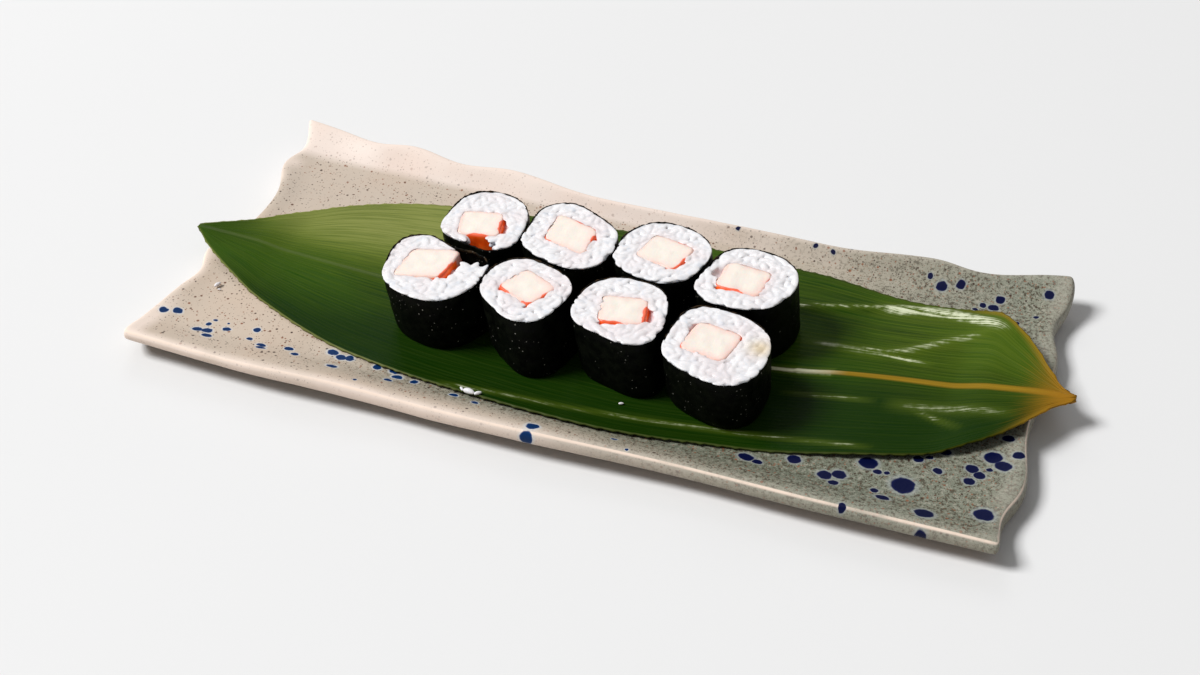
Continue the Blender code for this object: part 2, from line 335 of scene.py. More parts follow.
# %% Group: unevenness
unevenness, given, result = new_group(
    "unevenness",
    {"Place": "Vector", "Broad scale": "Float", "Fine scale": "Float"},
    {"Height": "Float", "Broad": "Float"},
)
broad = noise_at(unevenness, given["Place"], given["Broad scale"], 3.0)
fine = noise_at(unevenness, given["Place"], given["Fine scale"])
both = maths(unevenness, "MULTIPLY_ADD", fine, 0.35, broad)
unevenness.links.new(both, result["Height"])
unevenness.links.new(broad, result["Broad"])
print("group", unevenness.name)

# %% [markdown]
# ## The plate
# The real plate is a rolled slab of stoneware, bent up along both long edges while soft, with
# its short ends trimmed in a soft bracket line. It could be carved from a block or lofted from
# sections. Here the slab is made as a potter makes it: a flat grid takes the bends, Solidify
# gives it the slab's thickness, Bevel sponges the cut edges round, and a subdivision surface
# smooths what is left of the facets.

# %% The slab's lines
# A line is a row of pairs. The edge and rim lines give, for places along the plate, where the
# edge runs and how high its rim stands; the end lines give, across the plate, how far it bulges.
PLATE_HALF_LENGTH = 130.5
PLATE_THICKNESS = 6.0
FRONT_CREASE = -47.5
BACK_CREASE = 46.0
END_ZONE = 0.82
END_RISE = 1.2
END_RISE_WIDTH = 11.0
FRONT_EDGE_LINE = (
    (-131, -60.5), (-90, -62), (-50, -61), (-8, -61.6), (42, -59.8), (86, -60.4), (131, -59.6),
)
FRONT_RIM_LINE = (
    (-131, 10.2), (-100, 9.8), (-70, 10.5), (-38, 9.6), (0, 10.3), (50, 9.9), (95, 10.4),
    (131, 10.0),
)
BACK_EDGE_LINE = (
    (-131, 61), (-118, 59.5), (-103, 56), (-90, 57.5), (-72, 54.5), (-54, 56), (-28, 52.5),
    (2, 52.5), (34, 53), (64, 53), (90, 56), (104, 55), (122, 59.5), (131, 60.5),
)
BACK_RIM_LINE = (
    (-131, 12.9), (-112, 11.8), (-88, 13.0), (-70, 11.7), (-52, 12.5), (-20, 11.2), (20, 11.1),
    (60, 11.0), (92, 11.9), (110, 10.6), (131, 12.6),
)
RIGHT_END_LINE = (
    (-61, 2.2), (-54, 1.4), (-46, 0.6), (-37, 3.6), (-29, 4.2), (-17, 1.9), (-8, 0.8), (6, 1.8),
    (19, 3.8), (28, 3.2), (36, 0.6), (43, 0.4), (50, 2.9), (56, 3.2), (61, 1.6),
)
LEFT_END_LINE = (
    (-61, 2.4), (-53, 3.6), (-43, 1.9), (-29, -0.4), (-23, -2.2), (-12, 2.0), (-4, -1.6),
    (6, -4.6), (26, -4.0), (42, 2.2), (51, -1.2), (61, 2.0),
)
print("plate", 2 * PLATE_HALF_LENGTH, "mm long,", PLATE_THICKNESS, "mm thick")

# %% Its turned-up edges
def flange_share(x, y):
    """How far out over a turned-up edge a place is: 0 on the floor, 1 at the rim."""
    back = (y - BACK_CREASE) / (along(BACK_EDGE_LINE, x) - BACK_CREASE)
    front = (FRONT_CREASE - y) / (FRONT_CREASE - along(FRONT_EDGE_LINE, x))
    return np.clip(np.maximum(back, front), 0.0, 1.0)


def plate_height(x, y):
    share = flange_share(x, y)
    rim = np.where(y > 0, along(BACK_RIM_LINE, x), along(FRONT_RIM_LINE, x))
    lift = (rim - PLATE_THICKNESS) * (0.45 * share + 0.55 * smooth_step(share))
    ends = END_RISE * smooth_step((np.abs(x) - PLATE_HALF_LENGTH + END_RISE_WIDTH) / END_RISE_WIDTH)
    return PLATE_THICKNESS + np.maximum(lift, ends)


print("back rim at the middle", round(float(along(BACK_RIM_LINE, 0.0)), 1), "mm high")

# %% The slab
FLOOR_CELLS = 22
FLANGE_CELLS = 4
LENGTH_CELLS = 70
FLOOR_SHARE = FLOOR_CELLS / (FLOOR_CELLS + 2 * FLANGE_CELLS)


def plate_flat(u, v):
    """x and y of the slab before its ends are trimmed."""
    x = u * PLATE_HALF_LENGTH
    floor = FRONT_CREASE + (v / FLOOR_SHARE + 1.0) / 2.0 * (BACK_CREASE - FRONT_CREASE)
    beyond = (np.abs(v) - FLOOR_SHARE) / (1.0 - FLOOR_SHARE)
    front = FRONT_CREASE + beyond * (along(FRONT_EDGE_LINE, x) - FRONT_CREASE)
    back = BACK_CREASE + beyond * (along(BACK_EDGE_LINE, x) - BACK_CREASE)
    return x, np.where(beyond <= 0.0, floor, np.where(v < 0.0, front, back))


def plate_place(u, v):
    x, y = plate_flat(u, v)
    end_pull = np.where(u > 0, along(RIGHT_END_LINE, y), -along(LEFT_END_LINE, y))
    pull = smooth_step((np.abs(u) - END_ZONE) / (1.0 - END_ZONE)) * end_pull
    return np.stack((x + pull, y, plate_height(x, y)), axis=1)


slab = grid_mesh("plate_glazed", (LENGTH_CELLS, FLOOR_CELLS + 2 * FLANGE_CELLS), plate_place)
slab_points = points_of(slab)
slab_x, slab_y = slab_points[:, 0], slab_points[:, 1]
share = flange_share(slab_x, slab_y)
edge_reach = np.maximum(share, smooth_step((np.abs(slab_x) - PLATE_HALF_LENGTH + 7.0) / 6.0))
mark(slab, "rim", smooth_step((edge_reach - 0.72) / 0.28))
mark(slab, "pool", 1.0 - smooth_step((share - 0.2) / 0.55))
mark(slab, "flange", smooth_step(share / 0.3))
print("slab points", len(slab.vertices))

# %% [markdown]
# ### The glaze
# A speckled glaze does three things at once. It pools and greys where it lies thick, it breaks
# to a pale pinkish line where it runs thin over a rim, and iron in the clay bleeds through as
# brown specks. Some light and shade is painted in too: painted shade on the front floor, the outer
# face and the warm back floor, painted light on the warm back flange and a painted highlight along
# the front crest. This plate goes from a warm cream at one end to a grey-green at the other, and
# cobalt was dripped on before firing, each drop with a pale halo where it pushed the glaze
# aside. A drop is a small node group, so that one drop is understood once and used many times.

# %% Group: one cobalt drop
drop_group, given, result = new_group(
    "cobalt drop",
    {"Place": "Vector", "Centre": "Vector", "Half size": "Vector", "Others": "Float"},
    {"Depth": "Float"},
)
away = vector_maths(drop_group, "SUBTRACT", {0: given["Place"], 1: given["Centre"]})
scaled = vector_maths(drop_group, "DIVIDE", {0: away, 1: given["Half size"]})
depth = maths(drop_group, "SUBTRACT", 1.0, vector_maths(drop_group, "LENGTH", {0: scaled}))
drop_group.links.new(maths(drop_group, "MAXIMUM", depth, given["Others"]), result["Depth"])
print("group", drop_group.name)

# %% Where the drops fell
# Each drop is x, y and its half sizes along and across; one on an edge adds height and half height.
WARM_END_DROPS = (
    (-128.6, -44.6, 1.6, 1.5), (-124.5, -43.2, 1.8, 1.5), (-114.2, -49.2, 2.0, 1.3),
    (-111.2, -48.6, 1.9, 1.4), (-109.8, -51.4, 1.9, 1.3), (-112.4, -45.4, 1.1, 0.9),
    (-111.4, -43.2, 0.8, 0.6), (-106.0, -45.8, 1.6, 1.0), (-106.8, -43.2, 0.6, 0.5),
    (-97.1, -43.1, 1.3, 1.3), (-97.0, -47.8, 1.2, 0.8), (-92.0, -49.4, 1.9, 0.9),
    (-91.6, -50.9, 1.8, 0.8), (-83.6, -48.0, 1.6, 1.1), (-80.6, -49.9, 1.4, 0.9),
    (-70.6, -44.6, 2.0, 1.5), (-67.4, -46.0, 2.0, 1.4), (-64.6, -45.4, 1.6, 1.4),
    (-67.4, -51.6, 2.0, 1.2), (-55.2, -46.4, 1.6, 1.4), (-49.4, -46.2, 2.0, 1.5),
    (-47.4, -48.8, 1.9, 1.3), (-49.0, -51.6, 1.5, 0.8), (-41.8, -49.2, 1.4, 1.0),
    (-57.0, -56.8, 0.8, 0.6), (-28.4, -51.0, 1.6, 1.0), (-21.0, -52.4, 1.3, 0.8),
    (-0.4, -58.6, 2.3, 1.7), (-1.0, -62.6, 2.2, 3.4, 7.8, 2.2), (22.6, -54.4, 0.9, 0.7),
    (28.0, -58.6, 0.7, 0.6),
)
COOL_END_DROPS = (
    (59.0, -46.6, 2.6, 1.6), (62.6, -47.6, 1.6, 1.2), (71.9, -43.0, 2.2, 1.8),
    (81.6, -46.2, 2.3, 1.9), (85.2, -44.6, 2.3, 2.0), (84.6, -48.6, 1.7, 1.4),
    (91.8, -37.3, 3.0, 2.5), (95.0, -40.0, 1.4, 1.2), (97.6, -39.4, 1.0, 0.9),
    (95.8, -47.6, 1.3, 1.1), (98.6, -50.2, 2.4, 1.4), (102.9, -42.8, 3.8, 3.5),
    (104.6, -31.0, 1.8, 1.5), (107.4, -29.4, 1.3, 1.0), (110.7, -34.1, 1.5, 1.3),
    (110.6, -25.6, 2.4, 1.8), (110.9, -53.9, 3.0, 2.8), (111.6, -62.0, 1.9, 4.0, 5.8, 3.4),
    (126.0, -47.4, 3.1, 2.8), (124.0, -23.6, 2.9, 2.6), (127.4, -26.4, 2.7, 2.1),
    (130.6, -21.0, 2.0, 1.6), (119.4, -29.8, 2.1, 1.8), (121.8, -32.0, 1.9, 1.6),
    (119.6, -35.2, 1.9, 1.5), (124.0, -28.8, 1.0, 0.8), (126.6, -14.8, 1.9, 1.5),
    (89.8, -60.6, 1.3, 1.6, 9.6, 2.0), (94.2, 47.8, 1.9, 1.9), (99.9, 49.5, 1.5, 1.6),
    (90.0, 50.2, 0.9, 1.0), (108.0, 44.0, 1.3, 1.3), (112.6, 47.6, 1.5, 1.6),
    (111.4, 43.8, 1.8, 1.6), (106.2, 41.4, 1.0, 0.9), (126.6, 52.4, 1.7, 1.7),
    (118.4, 35.4, 1.9, 1.8), (122.4, 31.4, 1.8, 1.8), (119.6, 38.6, 0.9, 0.9),
    (124.4, 43.0, 0.9, 0.8), (52.6, 51.6, 1.0, 1.0), (58.6, 50.6, 1.0, 0.9),
    (26.8, 51.6, 0.9, 0.8), (64.0, 53.6, 0.9, 0.8),
)
print("cobalt drops:", len(WARM_END_DROPS) + len(COOL_END_DROPS))

# %% Laying the drops
DROP_SHRINK = 0.9
ANY_HEIGHT = 1000.0


def lay_drops(tree, place, drops):
    """Joins all the drops of one table; above 0 is inside a drop."""
    depth = -9.0
    for x, y, half_along, half_across, *upright in drops:
        height, half_height = upright or (0.0, ANY_HEIGHT)
        depth = use_group(tree, drop_group, {
            "Place": place,
            "Centre": (x * MM, y * MM, height * MM),
            "Half size": (
                DROP_SHRINK * half_along * MM, DROP_SHRINK * half_across * MM, half_height * MM,
            ),
            "Others": depth,
        })["Depth"]
    return depth


print("the first drop lies at", WARM_END_DROPS[0][:2])

# %% Glaze colours
CREAM = (0.60, 0.50, 0.405)
GREY_GREEN = (0.235, 0.25, 0.195)
POOLED_AND_SHADE = (0.15, 0.17, 0.125)
RIM_BREAK = (0.90, 0.76, 0.67)
RIM_BREAK_COOL = (0.46, 0.43, 0.36)
IRON = (0.055, 0.030, 0.022)
IRON_RED = (0.26, 0.105, 0.055)
COBALT_WARM = (0.002, 0.026, 0.105)
COBALT_COOL = (0.0008, 0.003, 0.034)
CLAY = (0.32, 0.25, 0.19)
# A painted light colour for the warm end's back flange.
PAINTED_FLANGE_LIGHT = (0.88, 0.755, 0.685)
CREST_HIGHLIGHT = (0.95, 0.77, 0.64)
print("colours from", CREAM, "to", GREY_GREEN)

# %% From the warm end to the cool end
glaze, tree, shader, place = new_finish("speckled_glaze", Specular_IOR_Level=0.12)
axes = add_node(tree, "ShaderNodeSeparateXYZ", {"Vector": place}).outputs
patchy = use_group(tree, unevenness, {"Place": place, "Broad scale": 45.0, "Fine scale": 900.0})
wander = maths(tree, "MULTIPLY_ADD", patchy["Broad"], 0.06, -0.03)
coolness = maths(tree, "MULTIPLY_ADD", axes["Y"], -0.35, axes["X"])
coolness = maths(tree, "ADD", coolness, wander)
on_rim = ramp(tree, coolness, -0.02, 0.11)
on_floor = ramp(tree, coolness, -0.08, 0.005)
rim = read_mark(tree, "rim")
pool = read_mark(tree, "pool")
# The front floor is darker: the glaze's own pooling in the crease, with painted shade from the leaf's
# front edge.
front_half = ramp(tree, axes["Y"], 0.01, -0.03)
past_middle = ramp(tree, axes["X"], 0.07, 0.11, 1.0, 0.35)
pooled_and_painted_shade = times(tree, on_floor, pool, front_half, past_middle)
cool_here = maths(tree, "MAXIMUM", on_rim, pooled_and_painted_shade)
colour = blend_colours(tree, on_rim, CREAM, GREY_GREEN)
colour = blend_colours(tree, times(tree, pooled_and_painted_shade, 0.9), colour, POOLED_AND_SHADE)
# On the warm end's back flange a paler colour is painted: painted light where the flange tilts toward
# the lamp. The floor just before it gets a little painted shade.
flange = read_mark(tree, "flange")
warm_back = times(tree, ramp(tree, axes["Y"], 0.0, 0.03), ramp(tree, coolness, 0.05, -0.04))
painted_flange_light_here = times(tree, flange, warm_back)
painted_floor_shade = times(tree, maths(tree, "SUBTRACT", 1.0, flange), warm_back)
colour = blend_colours(tree, times(tree, painted_flange_light_here, 0.85), colour, PAINTED_FLANGE_LIGHT)
colour = blend_colours(tree, painted_floor_shade, colour, (0.94, 0.955, 0.975), "MULTIPLY")
cloudy = ramp(tree, patchy["Broad"], 0.35, 0.7, 0.0, 0.35)
colour = blend_colours(tree, cloudy, colour, (1.05, 0.95, 0.9), "MULTIPLY")
print("glaze from cream to grey-green")

# %% Iron specks in the glaze
# The cool end is mottled dark and light. Specks are cells per metre, radius in metres, the share
# of cells that hold one at the warm and at the cool end, and strength.
MOTTLE_DARK, MOTTLE_LIGHT = (0.080, 0.066, 0.045), (0.55, 0.50, 0.42)
IRON_SPECKS = (
    (600.0, 0.00060, 0.22, 0.28, 0.97), (1100.0, 0.00038, 0.27, 0.50, 0.92),
    (1900.0, 0.00024, 0.20, 0.6, 0.75),
)
mottle = noise_at(tree, place, 900.0, 2.0, 0.75)
mottled = times(tree, ramp(tree, mottle, 0.52, 0.62), cool_here)
colour = blend_colours(tree, times(tree, mottled, 0.9), colour, MOTTLE_DARK)
lit = times(tree, ramp(tree, mottle, 0.47, 0.33), cool_here)
colour = blend_colours(tree, times(tree, lit, 0.35), colour, MOTTLE_LIGHT)
for cells_per_metre, radius, warm_share, cool_share, strength in IRON_SPECKS:
    dots = use_group(tree, specks, {
        "Place": place, "Cells per metre": cells_per_metre, "Dot radius": radius,
        "Share": ramp(tree, cool_here, 0.0, 1.0, warm_share, cool_share),
    })
    # Specks are fainter under the flange's painted light.
    here = maths(tree, "MULTIPLY_ADD", painted_flange_light_here, -0.7 * strength, strength)
    dot_here = times(tree, dots["Mask"], here)
    reddish = blend_colours(tree, ramp(tree, dots["Chance"], 0.55, 0.8), IRON, IRON_RED)
    colour = blend_colours(tree, dot_here, colour, reddish)
print("specks in", len(IRON_SPECKS), "sizes")

# %% Where the glaze breaks over the rims
breaking = times(
    tree, rim, ramp(tree, patchy["Broad"], 0.3, 0.6, 0.55, 0.95),
    ramp(tree, on_rim, 0.0, 1.0, 0.9, 0.45),
)
broken_colour = blend_colours(tree, on_rim, RIM_BREAK, RIM_BREAK_COOL)
colour = blend_colours(tree, breaking, colour, broken_colour)
normal = add_node(tree, "ShaderNodeNewGeometry").outputs["Normal"]
upward = add_node(tree, "ShaderNodeSeparateXYZ", {"Vector": normal}).outputs["Z"]
glazed = ramp(tree, upward, -0.75, -0.6)
print("the underside stays bare")

# %% Cobalt drops in the glaze
# Noise pushes the places about, so that no drop is a true oval.
DROP_WOBBLE = 1.3
run = add_node(
    tree, "ShaderNodeTexNoise", {"Vector": place, "Scale": 420.0, "Detail": 2.0}
).outputs["Color"]
centred = vector_maths(tree, "SUBTRACT", {0: run, 1: (0.5, 0.5, 0.5)})
pushed = vector_maths(tree, "SCALE", {0: centred, 3: DROP_WOBBLE * MM})
wobbly_place = vector_maths(tree, "ADD", {0: place, 1: pushed})
in_drops = 0.0
for drops, cobalt, halo in (
    (WARM_END_DROPS, COBALT_WARM, (0.62, 0.66, 0.68)),
    (COOL_END_DROPS, COBALT_COOL, (0.34, 0.37, 0.36)),
):
    depth = lay_drops(tree, wobbly_place, drops)
    around = times(tree, ramp(tree, depth, -0.55, -0.05), 0.55)
    colour = blend_colours(tree, times(tree, around, glazed), colour, halo)
    inside = ramp(tree, depth, -0.08, 0.10)
    in_drops = maths(tree, "MAXIMUM", inside, in_drops)
    thin_blue = tuple(1.7 * part + 0.002 for part in cobalt)
    blue = blend_colours(tree, ramp(tree, depth, 0.0, 0.3), thin_blue, cobalt)
    colour = blend_colours(tree, times(tree, inside, glazed), colour, blue)
print("drops laid at both ends")

# %% Painted shade on the outer face, painted crest highlight and bare foot
# Where the front rim turns down to its outer face, the colour is painted darker: painted shade.
painted_outer_face_shade = times(tree, ramp(tree, upward, 0.45, 0.1, 0.0, 0.38), ramp(tree, axes["Y"], 0.0, -0.03))
colour = blend_colours(tree, painted_outer_face_shade, colour, (0.62, 0.55, 0.48), "MULTIPLY")
# Along the front rim's crest a thin bright line is painted: a painted highlight.
painted_crest_highlight = times(
    tree, ramp(tree, upward, 0.95, 0.84), ramp(tree, upward, 0.40, 0.66), ramp(tree, rim, 0.85, 0.99),
    ramp(tree, patchy["Height"], 0.45, 0.80, 0.35, 0.9), ramp(tree, axes["Y"], 0.036, 0.0),
    maths(tree, "SUBTRACT", 1.0, in_drops),
)
colour = blend_colours(tree, painted_crest_highlight, colour, CREST_HIGHLIGHT)
bare = maths(tree, "SUBTRACT", 1.0, glazed)
colour = blend_colours(tree, bare, colour, CLAY)
tree.links.new(colour, shader.inputs["Base Color"])
roughness = ramp(tree, patchy["Broad"], 0.3, 0.7, 0.42, 0.56)
roughness = maths(tree, "MULTIPLY_ADD", bare, 0.5, roughness)
tree.links.new(roughness, shader.inputs["Roughness"])
add_bump(tree, shader, patchy["Height"], 0.25, 0.4)
print("glaze finished with", len(tree.nodes), "nodes")

# %% [markdown]
# ### From slab to plate
# A thrown or pressed rim is never as thick as the floor it was pulled from. Solidify can take
# its thickness from a vertex group, so the slab gets thinner towards its turned-up edges. The
# bevel, the subdivision surface and a faint displacement then follow in the potter's own order:
# sponge, smooth, and the marks of the hand.

# %% Slab to plate
THINNEST_SHARE = 0.55
plate = add_piece("plate_glazed", slab, glaze, ["plate"])
thickness = plate.modifiers.new("slab thickness", "SOLIDIFY")
thickness.thickness = PLATE_THICKNESS * MM
thickness.offset = -1.0
thickness.use_even_offset = True
# The slab was pressed thinner toward its turned-up edges, most of all at the left.
press = plate.vertex_groups.new(name="slab thickness")
at_rim = 1.0 - share**2 * (0.22 + 0.16 * smooth_step((-60.0 - slab_x) / 50.0))
for point, part in enumerate((at_rim - THINNEST_SHARE) / (1.0 - THINNEST_SHARE)):
    press.add([point], float(part), "REPLACE")
thickness.vertex_group = press.name
thickness.thickness_vertex_group = THINNEST_SHARE
print("thinnest part of the rim:", round(PLATE_THICKNESS * float(at_rim.min()), 1), "mm")

# %% Sponging and smoothing
sponged = plate.modifiers.new("sponged edges", "BEVEL")
sponged.width = 2.3 * MM
sponged.segments = 2
sponged.limit_method = "ANGLE"
sponged.angle_limit = math.radians(60)
soft = plate.modifiers.new("soft slab", "SUBSURF")
soft.levels = 2
soft.render_levels = 2
by_hand = plate.modifiers.new("hand rolled", "DISPLACE")
by_hand.texture = bpy.data.textures.new("hand rolled", "CLOUDS")
by_hand.texture.noise_scale = 0.022
by_hand.strength = 0.35 * MM
by_hand.texture_coords = "LOCAL"
print("plate made")

# %% [markdown]
# ## The bamboo leaf
# A bamboo leaf is a long blade with a midrib and close parallel veins that run together at
# both ends. Fresh from its packet it keeps a few folds, and those catch the light. It is a
# sheet, so a grid fits it well: one direction of the grid follows the veins and the other runs
# across them, which also gives the material its vein coordinates for free.

# %% The blade's outline
LEAF_THICKNESS = 0.5
LEAF_TIP_X, LEAF_STALK_X = -139.0, 142.0
LEAF_FRONT_LINE = (
    (-139, -5), (-131, -12.4), (-115, -23.4), (-95, -33.7), (-75.5, -41.4), (-59, -45.3),
    (-43, -47.9), (-24, -49.8), (-1, -51.5), (20, -51.3), (48, -46.3), (66, -42.6), (89, -36.6),
    (106, -30.4), (117, -23.4), (125, -16.8), (131, -9.5), (136.4, -1.2), (142, 4.6),
)
LEAF_BACK_LINE = (
    (-139, -3.4), (-125, 5.5), (-106, 19), (-88, 30), (-68, 36), (-30, 41), (10, 43), (52, 41.6),
    (61, 41.2), (84, 37.2), (98, 34.9), (111, 34.4), (116, 33), (121, 27.8), (127, 21.5),
    (134, 13.3), (138, 8.8), (142, 6.4),
)
LEAF_MIDRIB_LINE = (
    (-139, -4.2), (-90, -6), (-20, -9), (46, -8.9), (64, -6.3), (74, -3.7), (87, -1.3), (105, 1.3),
    (124, 3.9), (136, 5.4), (142, 5.5),
)
LEAF_FLAT_HALF_LENGTH = 66.0
LEAF_FRONT_FOLD = -43.0
LEAF_END_CLIMB = 106.0
BACK_FOLD_LINE = ((46, 21), (58, 24.4), (79, 30.4), (92, 31.7), (105, 30.8), (118, 26.4))
SLANT_FOLD_LINE = ((60, 8), (84, 9.6), (93, 13.6), (102, 18.4), (116, 24))
print("leaf", round(LEAF_STALK_X - LEAF_TIP_X), "mm from tip to stalk")

# %% How the blade lies
# It follows the plate, ripples a little, lifts off towards the stalk and keeps two sharp folds.
def ridge(x, y, line, width, height, start, end):
    """A crease along a line: a low ridge that fades in after start and out before end."""
    from_line = (y - along(line, x)) / width
    fade = smooth_step((x - start) / 12.0) * smooth_step((end - x) / 12.0)
    return height * np.exp(-from_line * from_line) * fade


def leaf_height(x, y):
    side = (y - along(LEAF_MIDRIB_LINE, x)) / 48.0
    outside = smooth_step((np.abs(x) - LEAF_FLAT_HALF_LENGTH) / 45.0)
    ripple = 0.5 * outside * (1.0 + np.sin(9.0 * side + x / 30.0))
    shoulder = smooth_step((x - 78.0) / 40.0) * smooth_step(side / 0.55)
    margin = smooth_step((x - 60.0) / 30.0) * smooth_step(-side / 0.6)
    stalk = smooth_step((x - 100.0) / 38.0)
    lift = 4.2 * shoulder + 0.9 * margin + 1.6 * stalk
    fold = 0.6 * smooth_step((LEAF_FRONT_FOLD - y) / 5.0)
    over_end = END_RISE * smooth_step((np.abs(x) - LEAF_END_CLIMB) / 12.0)
    creases = ridge(x, y, BACK_FOLD_LINE, 2.2, 0.8, 48.0, 118.0)
    creases = creases + ridge(x, y, SLANT_FOLD_LINE, 2.0, 0.6, 62.0, 122.0)
    below = np.maximum(plate_height(x, y), PLATE_THICKNESS + over_end)
    return below + 0.3 + fold + ripple + lift + creases


print("the blade lies", round(float(leaf_height(0.0, 0.0)), 1), "mm high at the middle")

# %% The blade as a grid
def leaf_place(u, v):
    x = LEAF_TIP_X + (u + 1.0) / 2.0 * (LEAF_STALK_X - LEAF_TIP_X)
    front = along(LEAF_FRONT_LINE, x)
    back = along(LEAF_BACK_LINE, x)
    rib = np.clip(along(LEAF_MIDRIB_LINE, x), front + 0.3, back - 0.3)
    y = np.where(v > 0, rib + v * (back - rib), rib + v * (rib - front))
    away = np.abs(y - rib)
    # The midrib stands up as a rounded cord, and the blade falls a little in a groove beside it.
    cord = 0.55 * np.exp(-(away / 1.1) ** 2) * smooth_step((x + 125.0) / 90.0) * (np.abs(x) > 62)
    grooves = np.stack((x * 0.012, v * 27.0, np.zeros_like(x)), axis=1)
    corrugation = 0.09 * soft_noise(grooves, 1.0, 3) * smooth_step((1.0 - np.abs(v)) / 0.1)
    corrugation = corrugation * smooth_step((np.abs(x) - 60.0) / 8.0)
    nibble = 0.35 * np.sin(x * 1.9) * np.sin(x * 0.63 + 1.0) * (np.abs(v) > 0.98)
    return np.stack((x, y + nibble * np.sign(v), leaf_height(x, y) + cord + corrugation), axis=1)


leaf_mesh = grid_mesh("leaf_veined", (230, 72), leaf_place)
print("blade points", len(leaf_mesh.vertices))

# %% Vein coordinates
leaf_points = points_of(leaf_mesh)
leaf_rib = along(LEAF_MIDRIB_LINE, leaf_points[:, 0])
leaf_front = along(LEAF_FRONT_LINE, leaf_points[:, 0])
leaf_back = along(LEAF_BACK_LINE, leaf_points[:, 0])
from_rib = leaf_points[:, 1] - leaf_rib
half_width = np.where(from_rib > 0, leaf_back - leaf_rib, leaf_rib - leaf_front)
mark(leaf_mesh, "vein", from_rib / np.maximum(half_width, 0.5))
mark(leaf_mesh, "from_rib", np.abs(from_rib))
mark(leaf_mesh, "to_margin", np.minimum(leaf_points[:, 1] - leaf_front, leaf_back - leaf_points[:, 1]))
print("the blade is up to", round(float((leaf_back - leaf_front).max())), "mm wide")

# %% Painted highlights on the folds
# Along the creases, the front edge and the midrib's start the leaf is painted whitish: painted
# highlights.
def line_glow(line, width, strength):
    """How close the leaf's points are to a line, 1 on it, fading out at its two ends."""
    x, y = leaf_points[:, 0], leaf_points[:, 1]
    first, last = line[0][0], line[-1][0]
    window = smooth_step((x - first) / 9.0) * smooth_step((last - x) / 9.0)
    return strength * window * np.exp(-((y - along(line, x)) / width) ** 2)


painted_highlight = np.max([
    line_glow(((44, 20.5), (58, 24.4), (79, 30.4), (92, 31.7)), 0.6, 0.62),
    line_glow(((76, 30.2), (92, 31.5), (105, 30.0), (121, 25.0)), 2.1, 1.0),
    line_glow(SLANT_FOLD_LINE, 1.4, 0.40),
    line_glow(((74, 10.2), (84, 9.8), (92, 9.2), (100, 8.9)), 0.8, 1.0),
    line_glow(((90, -12.6), (100, -11.6), (111, -9.8), (128, -8.0)), 1.7, 0.36),
    line_glow(((95, -12.6), (102, -14.2), (114, -18.0)), 0.8, 0.42),
    line_glow(((60, -17.4), (68, -15.9), (80, -13.9), (88, -12.8)), 0.6, 0.48),
    line_glow(
        ((-36, -48.2), (-15, -46.1), (4, -45.0), (34, -41.5), (60, -37.6), (92, -33.0)), 0.6, 0.42
    ),
    line_glow(((54, -8.2), (64, -6.3), (74, -3.7), (84, -1.9)), 0.9, 1.0) * (leaf_points[:, 0] < 73),
], axis=0)
mark(leaf_mesh, "painted_highlight", painted_highlight)
print("rubbed points:", int((painted_highlight > 0.2).sum()))

# %% [markdown]
# ### The leaf's finish
# The green is not one green. Veins are slightly lighter ridges, the spaces between them hold
# broad darker and yellower bands, the margin dries to straw, and the midrib turns from pale to
# ochre and to the brown of the stalk. The cuticle is waxy, so it is fairly glossy, and less so
# along the veins. Everything is drawn in the vein coordinates, so it narrows with the blade.

# %% Leaf colours
LEAF_DEEP = (0.0035, 0.022, 0.0006)
LEAF_GREEN = (0.019, 0.066, 0.0010)
LEAF_FRESH = (0.13, 0.18, 0.016)
# A colour for painted sheen at the leaf's upper left.
PAINTED_SHEEN_PALE = (0.27, 0.29, 0.085)
STRAW = (0.42, 0.42, 0.13)
OCHRE = (0.31, 0.185, 0.014)
STALK_BROWN = (0.34, 0.16, 0.012)
SHEEN = (0.62, 0.66, 0.44)
RIB_PALE = (0.62, 0.62, 0.42)
print("greens from", LEAF_DEEP, "to", PAINTED_SHEEN_PALE)

# %% Veins and ribs
leaf_finish, tree, shader, place = new_finish(
    "bamboo_leaf", Specular_IOR_Level=0.05, Coat_Roughness=0.22
)
axes = add_node(tree, "ShaderNodeSeparateXYZ", {"Vector": place}).outputs
vein = read_mark(tree, "vein")
rib_distance = read_mark(tree, "from_rib")
to_margin = read_mark(tree, "to_margin")
vein_place = add_node(
    tree, "ShaderNodeCombineXYZ", {"X": axes["X"], "Y": times(tree, vein, 0.045), "Z": 0.0}
).outputs[0]
bands = use_group(
    tree, streaks, {"Place": vein_place, "Stretch": (0.05, 1.0, 1.0), "Scale": 190.0}
)["Value"]
hairs = use_group(
    tree, streaks, {"Place": vein_place, "Stretch": (0.035, 1.0, 1.0), "Scale": 1100.0}
)["Value"]
ribs = maths(tree, "SINE", maths(tree, "MULTIPLY_ADD", bands, 3.0, times(tree, vein, 160.0)))
print("veins run with the blade")

# %% Greens, with painted shade at the front and painted sheen at the upper left
patches = noise_at(tree, place, 26.0)
colour = blend_colours(tree, ramp(tree, patches, 0.35, 0.65), LEAF_DEEP, LEAF_GREEN)
colour = blend_colours(tree, times(tree, bands, 0.5), colour, LEAF_GREEN)
# Darker towards the front and the right of the leaf: painted shade.
toward_front = maths(tree, "MULTIPLY_ADD", axes["X"], -0.12, axes["Y"])
painted_front_shade = times(tree, ramp(tree, toward_front, 0.003, -0.027), 0.95)
colour = blend_colours(tree, painted_front_shade, colour, LEAF_DEEP)
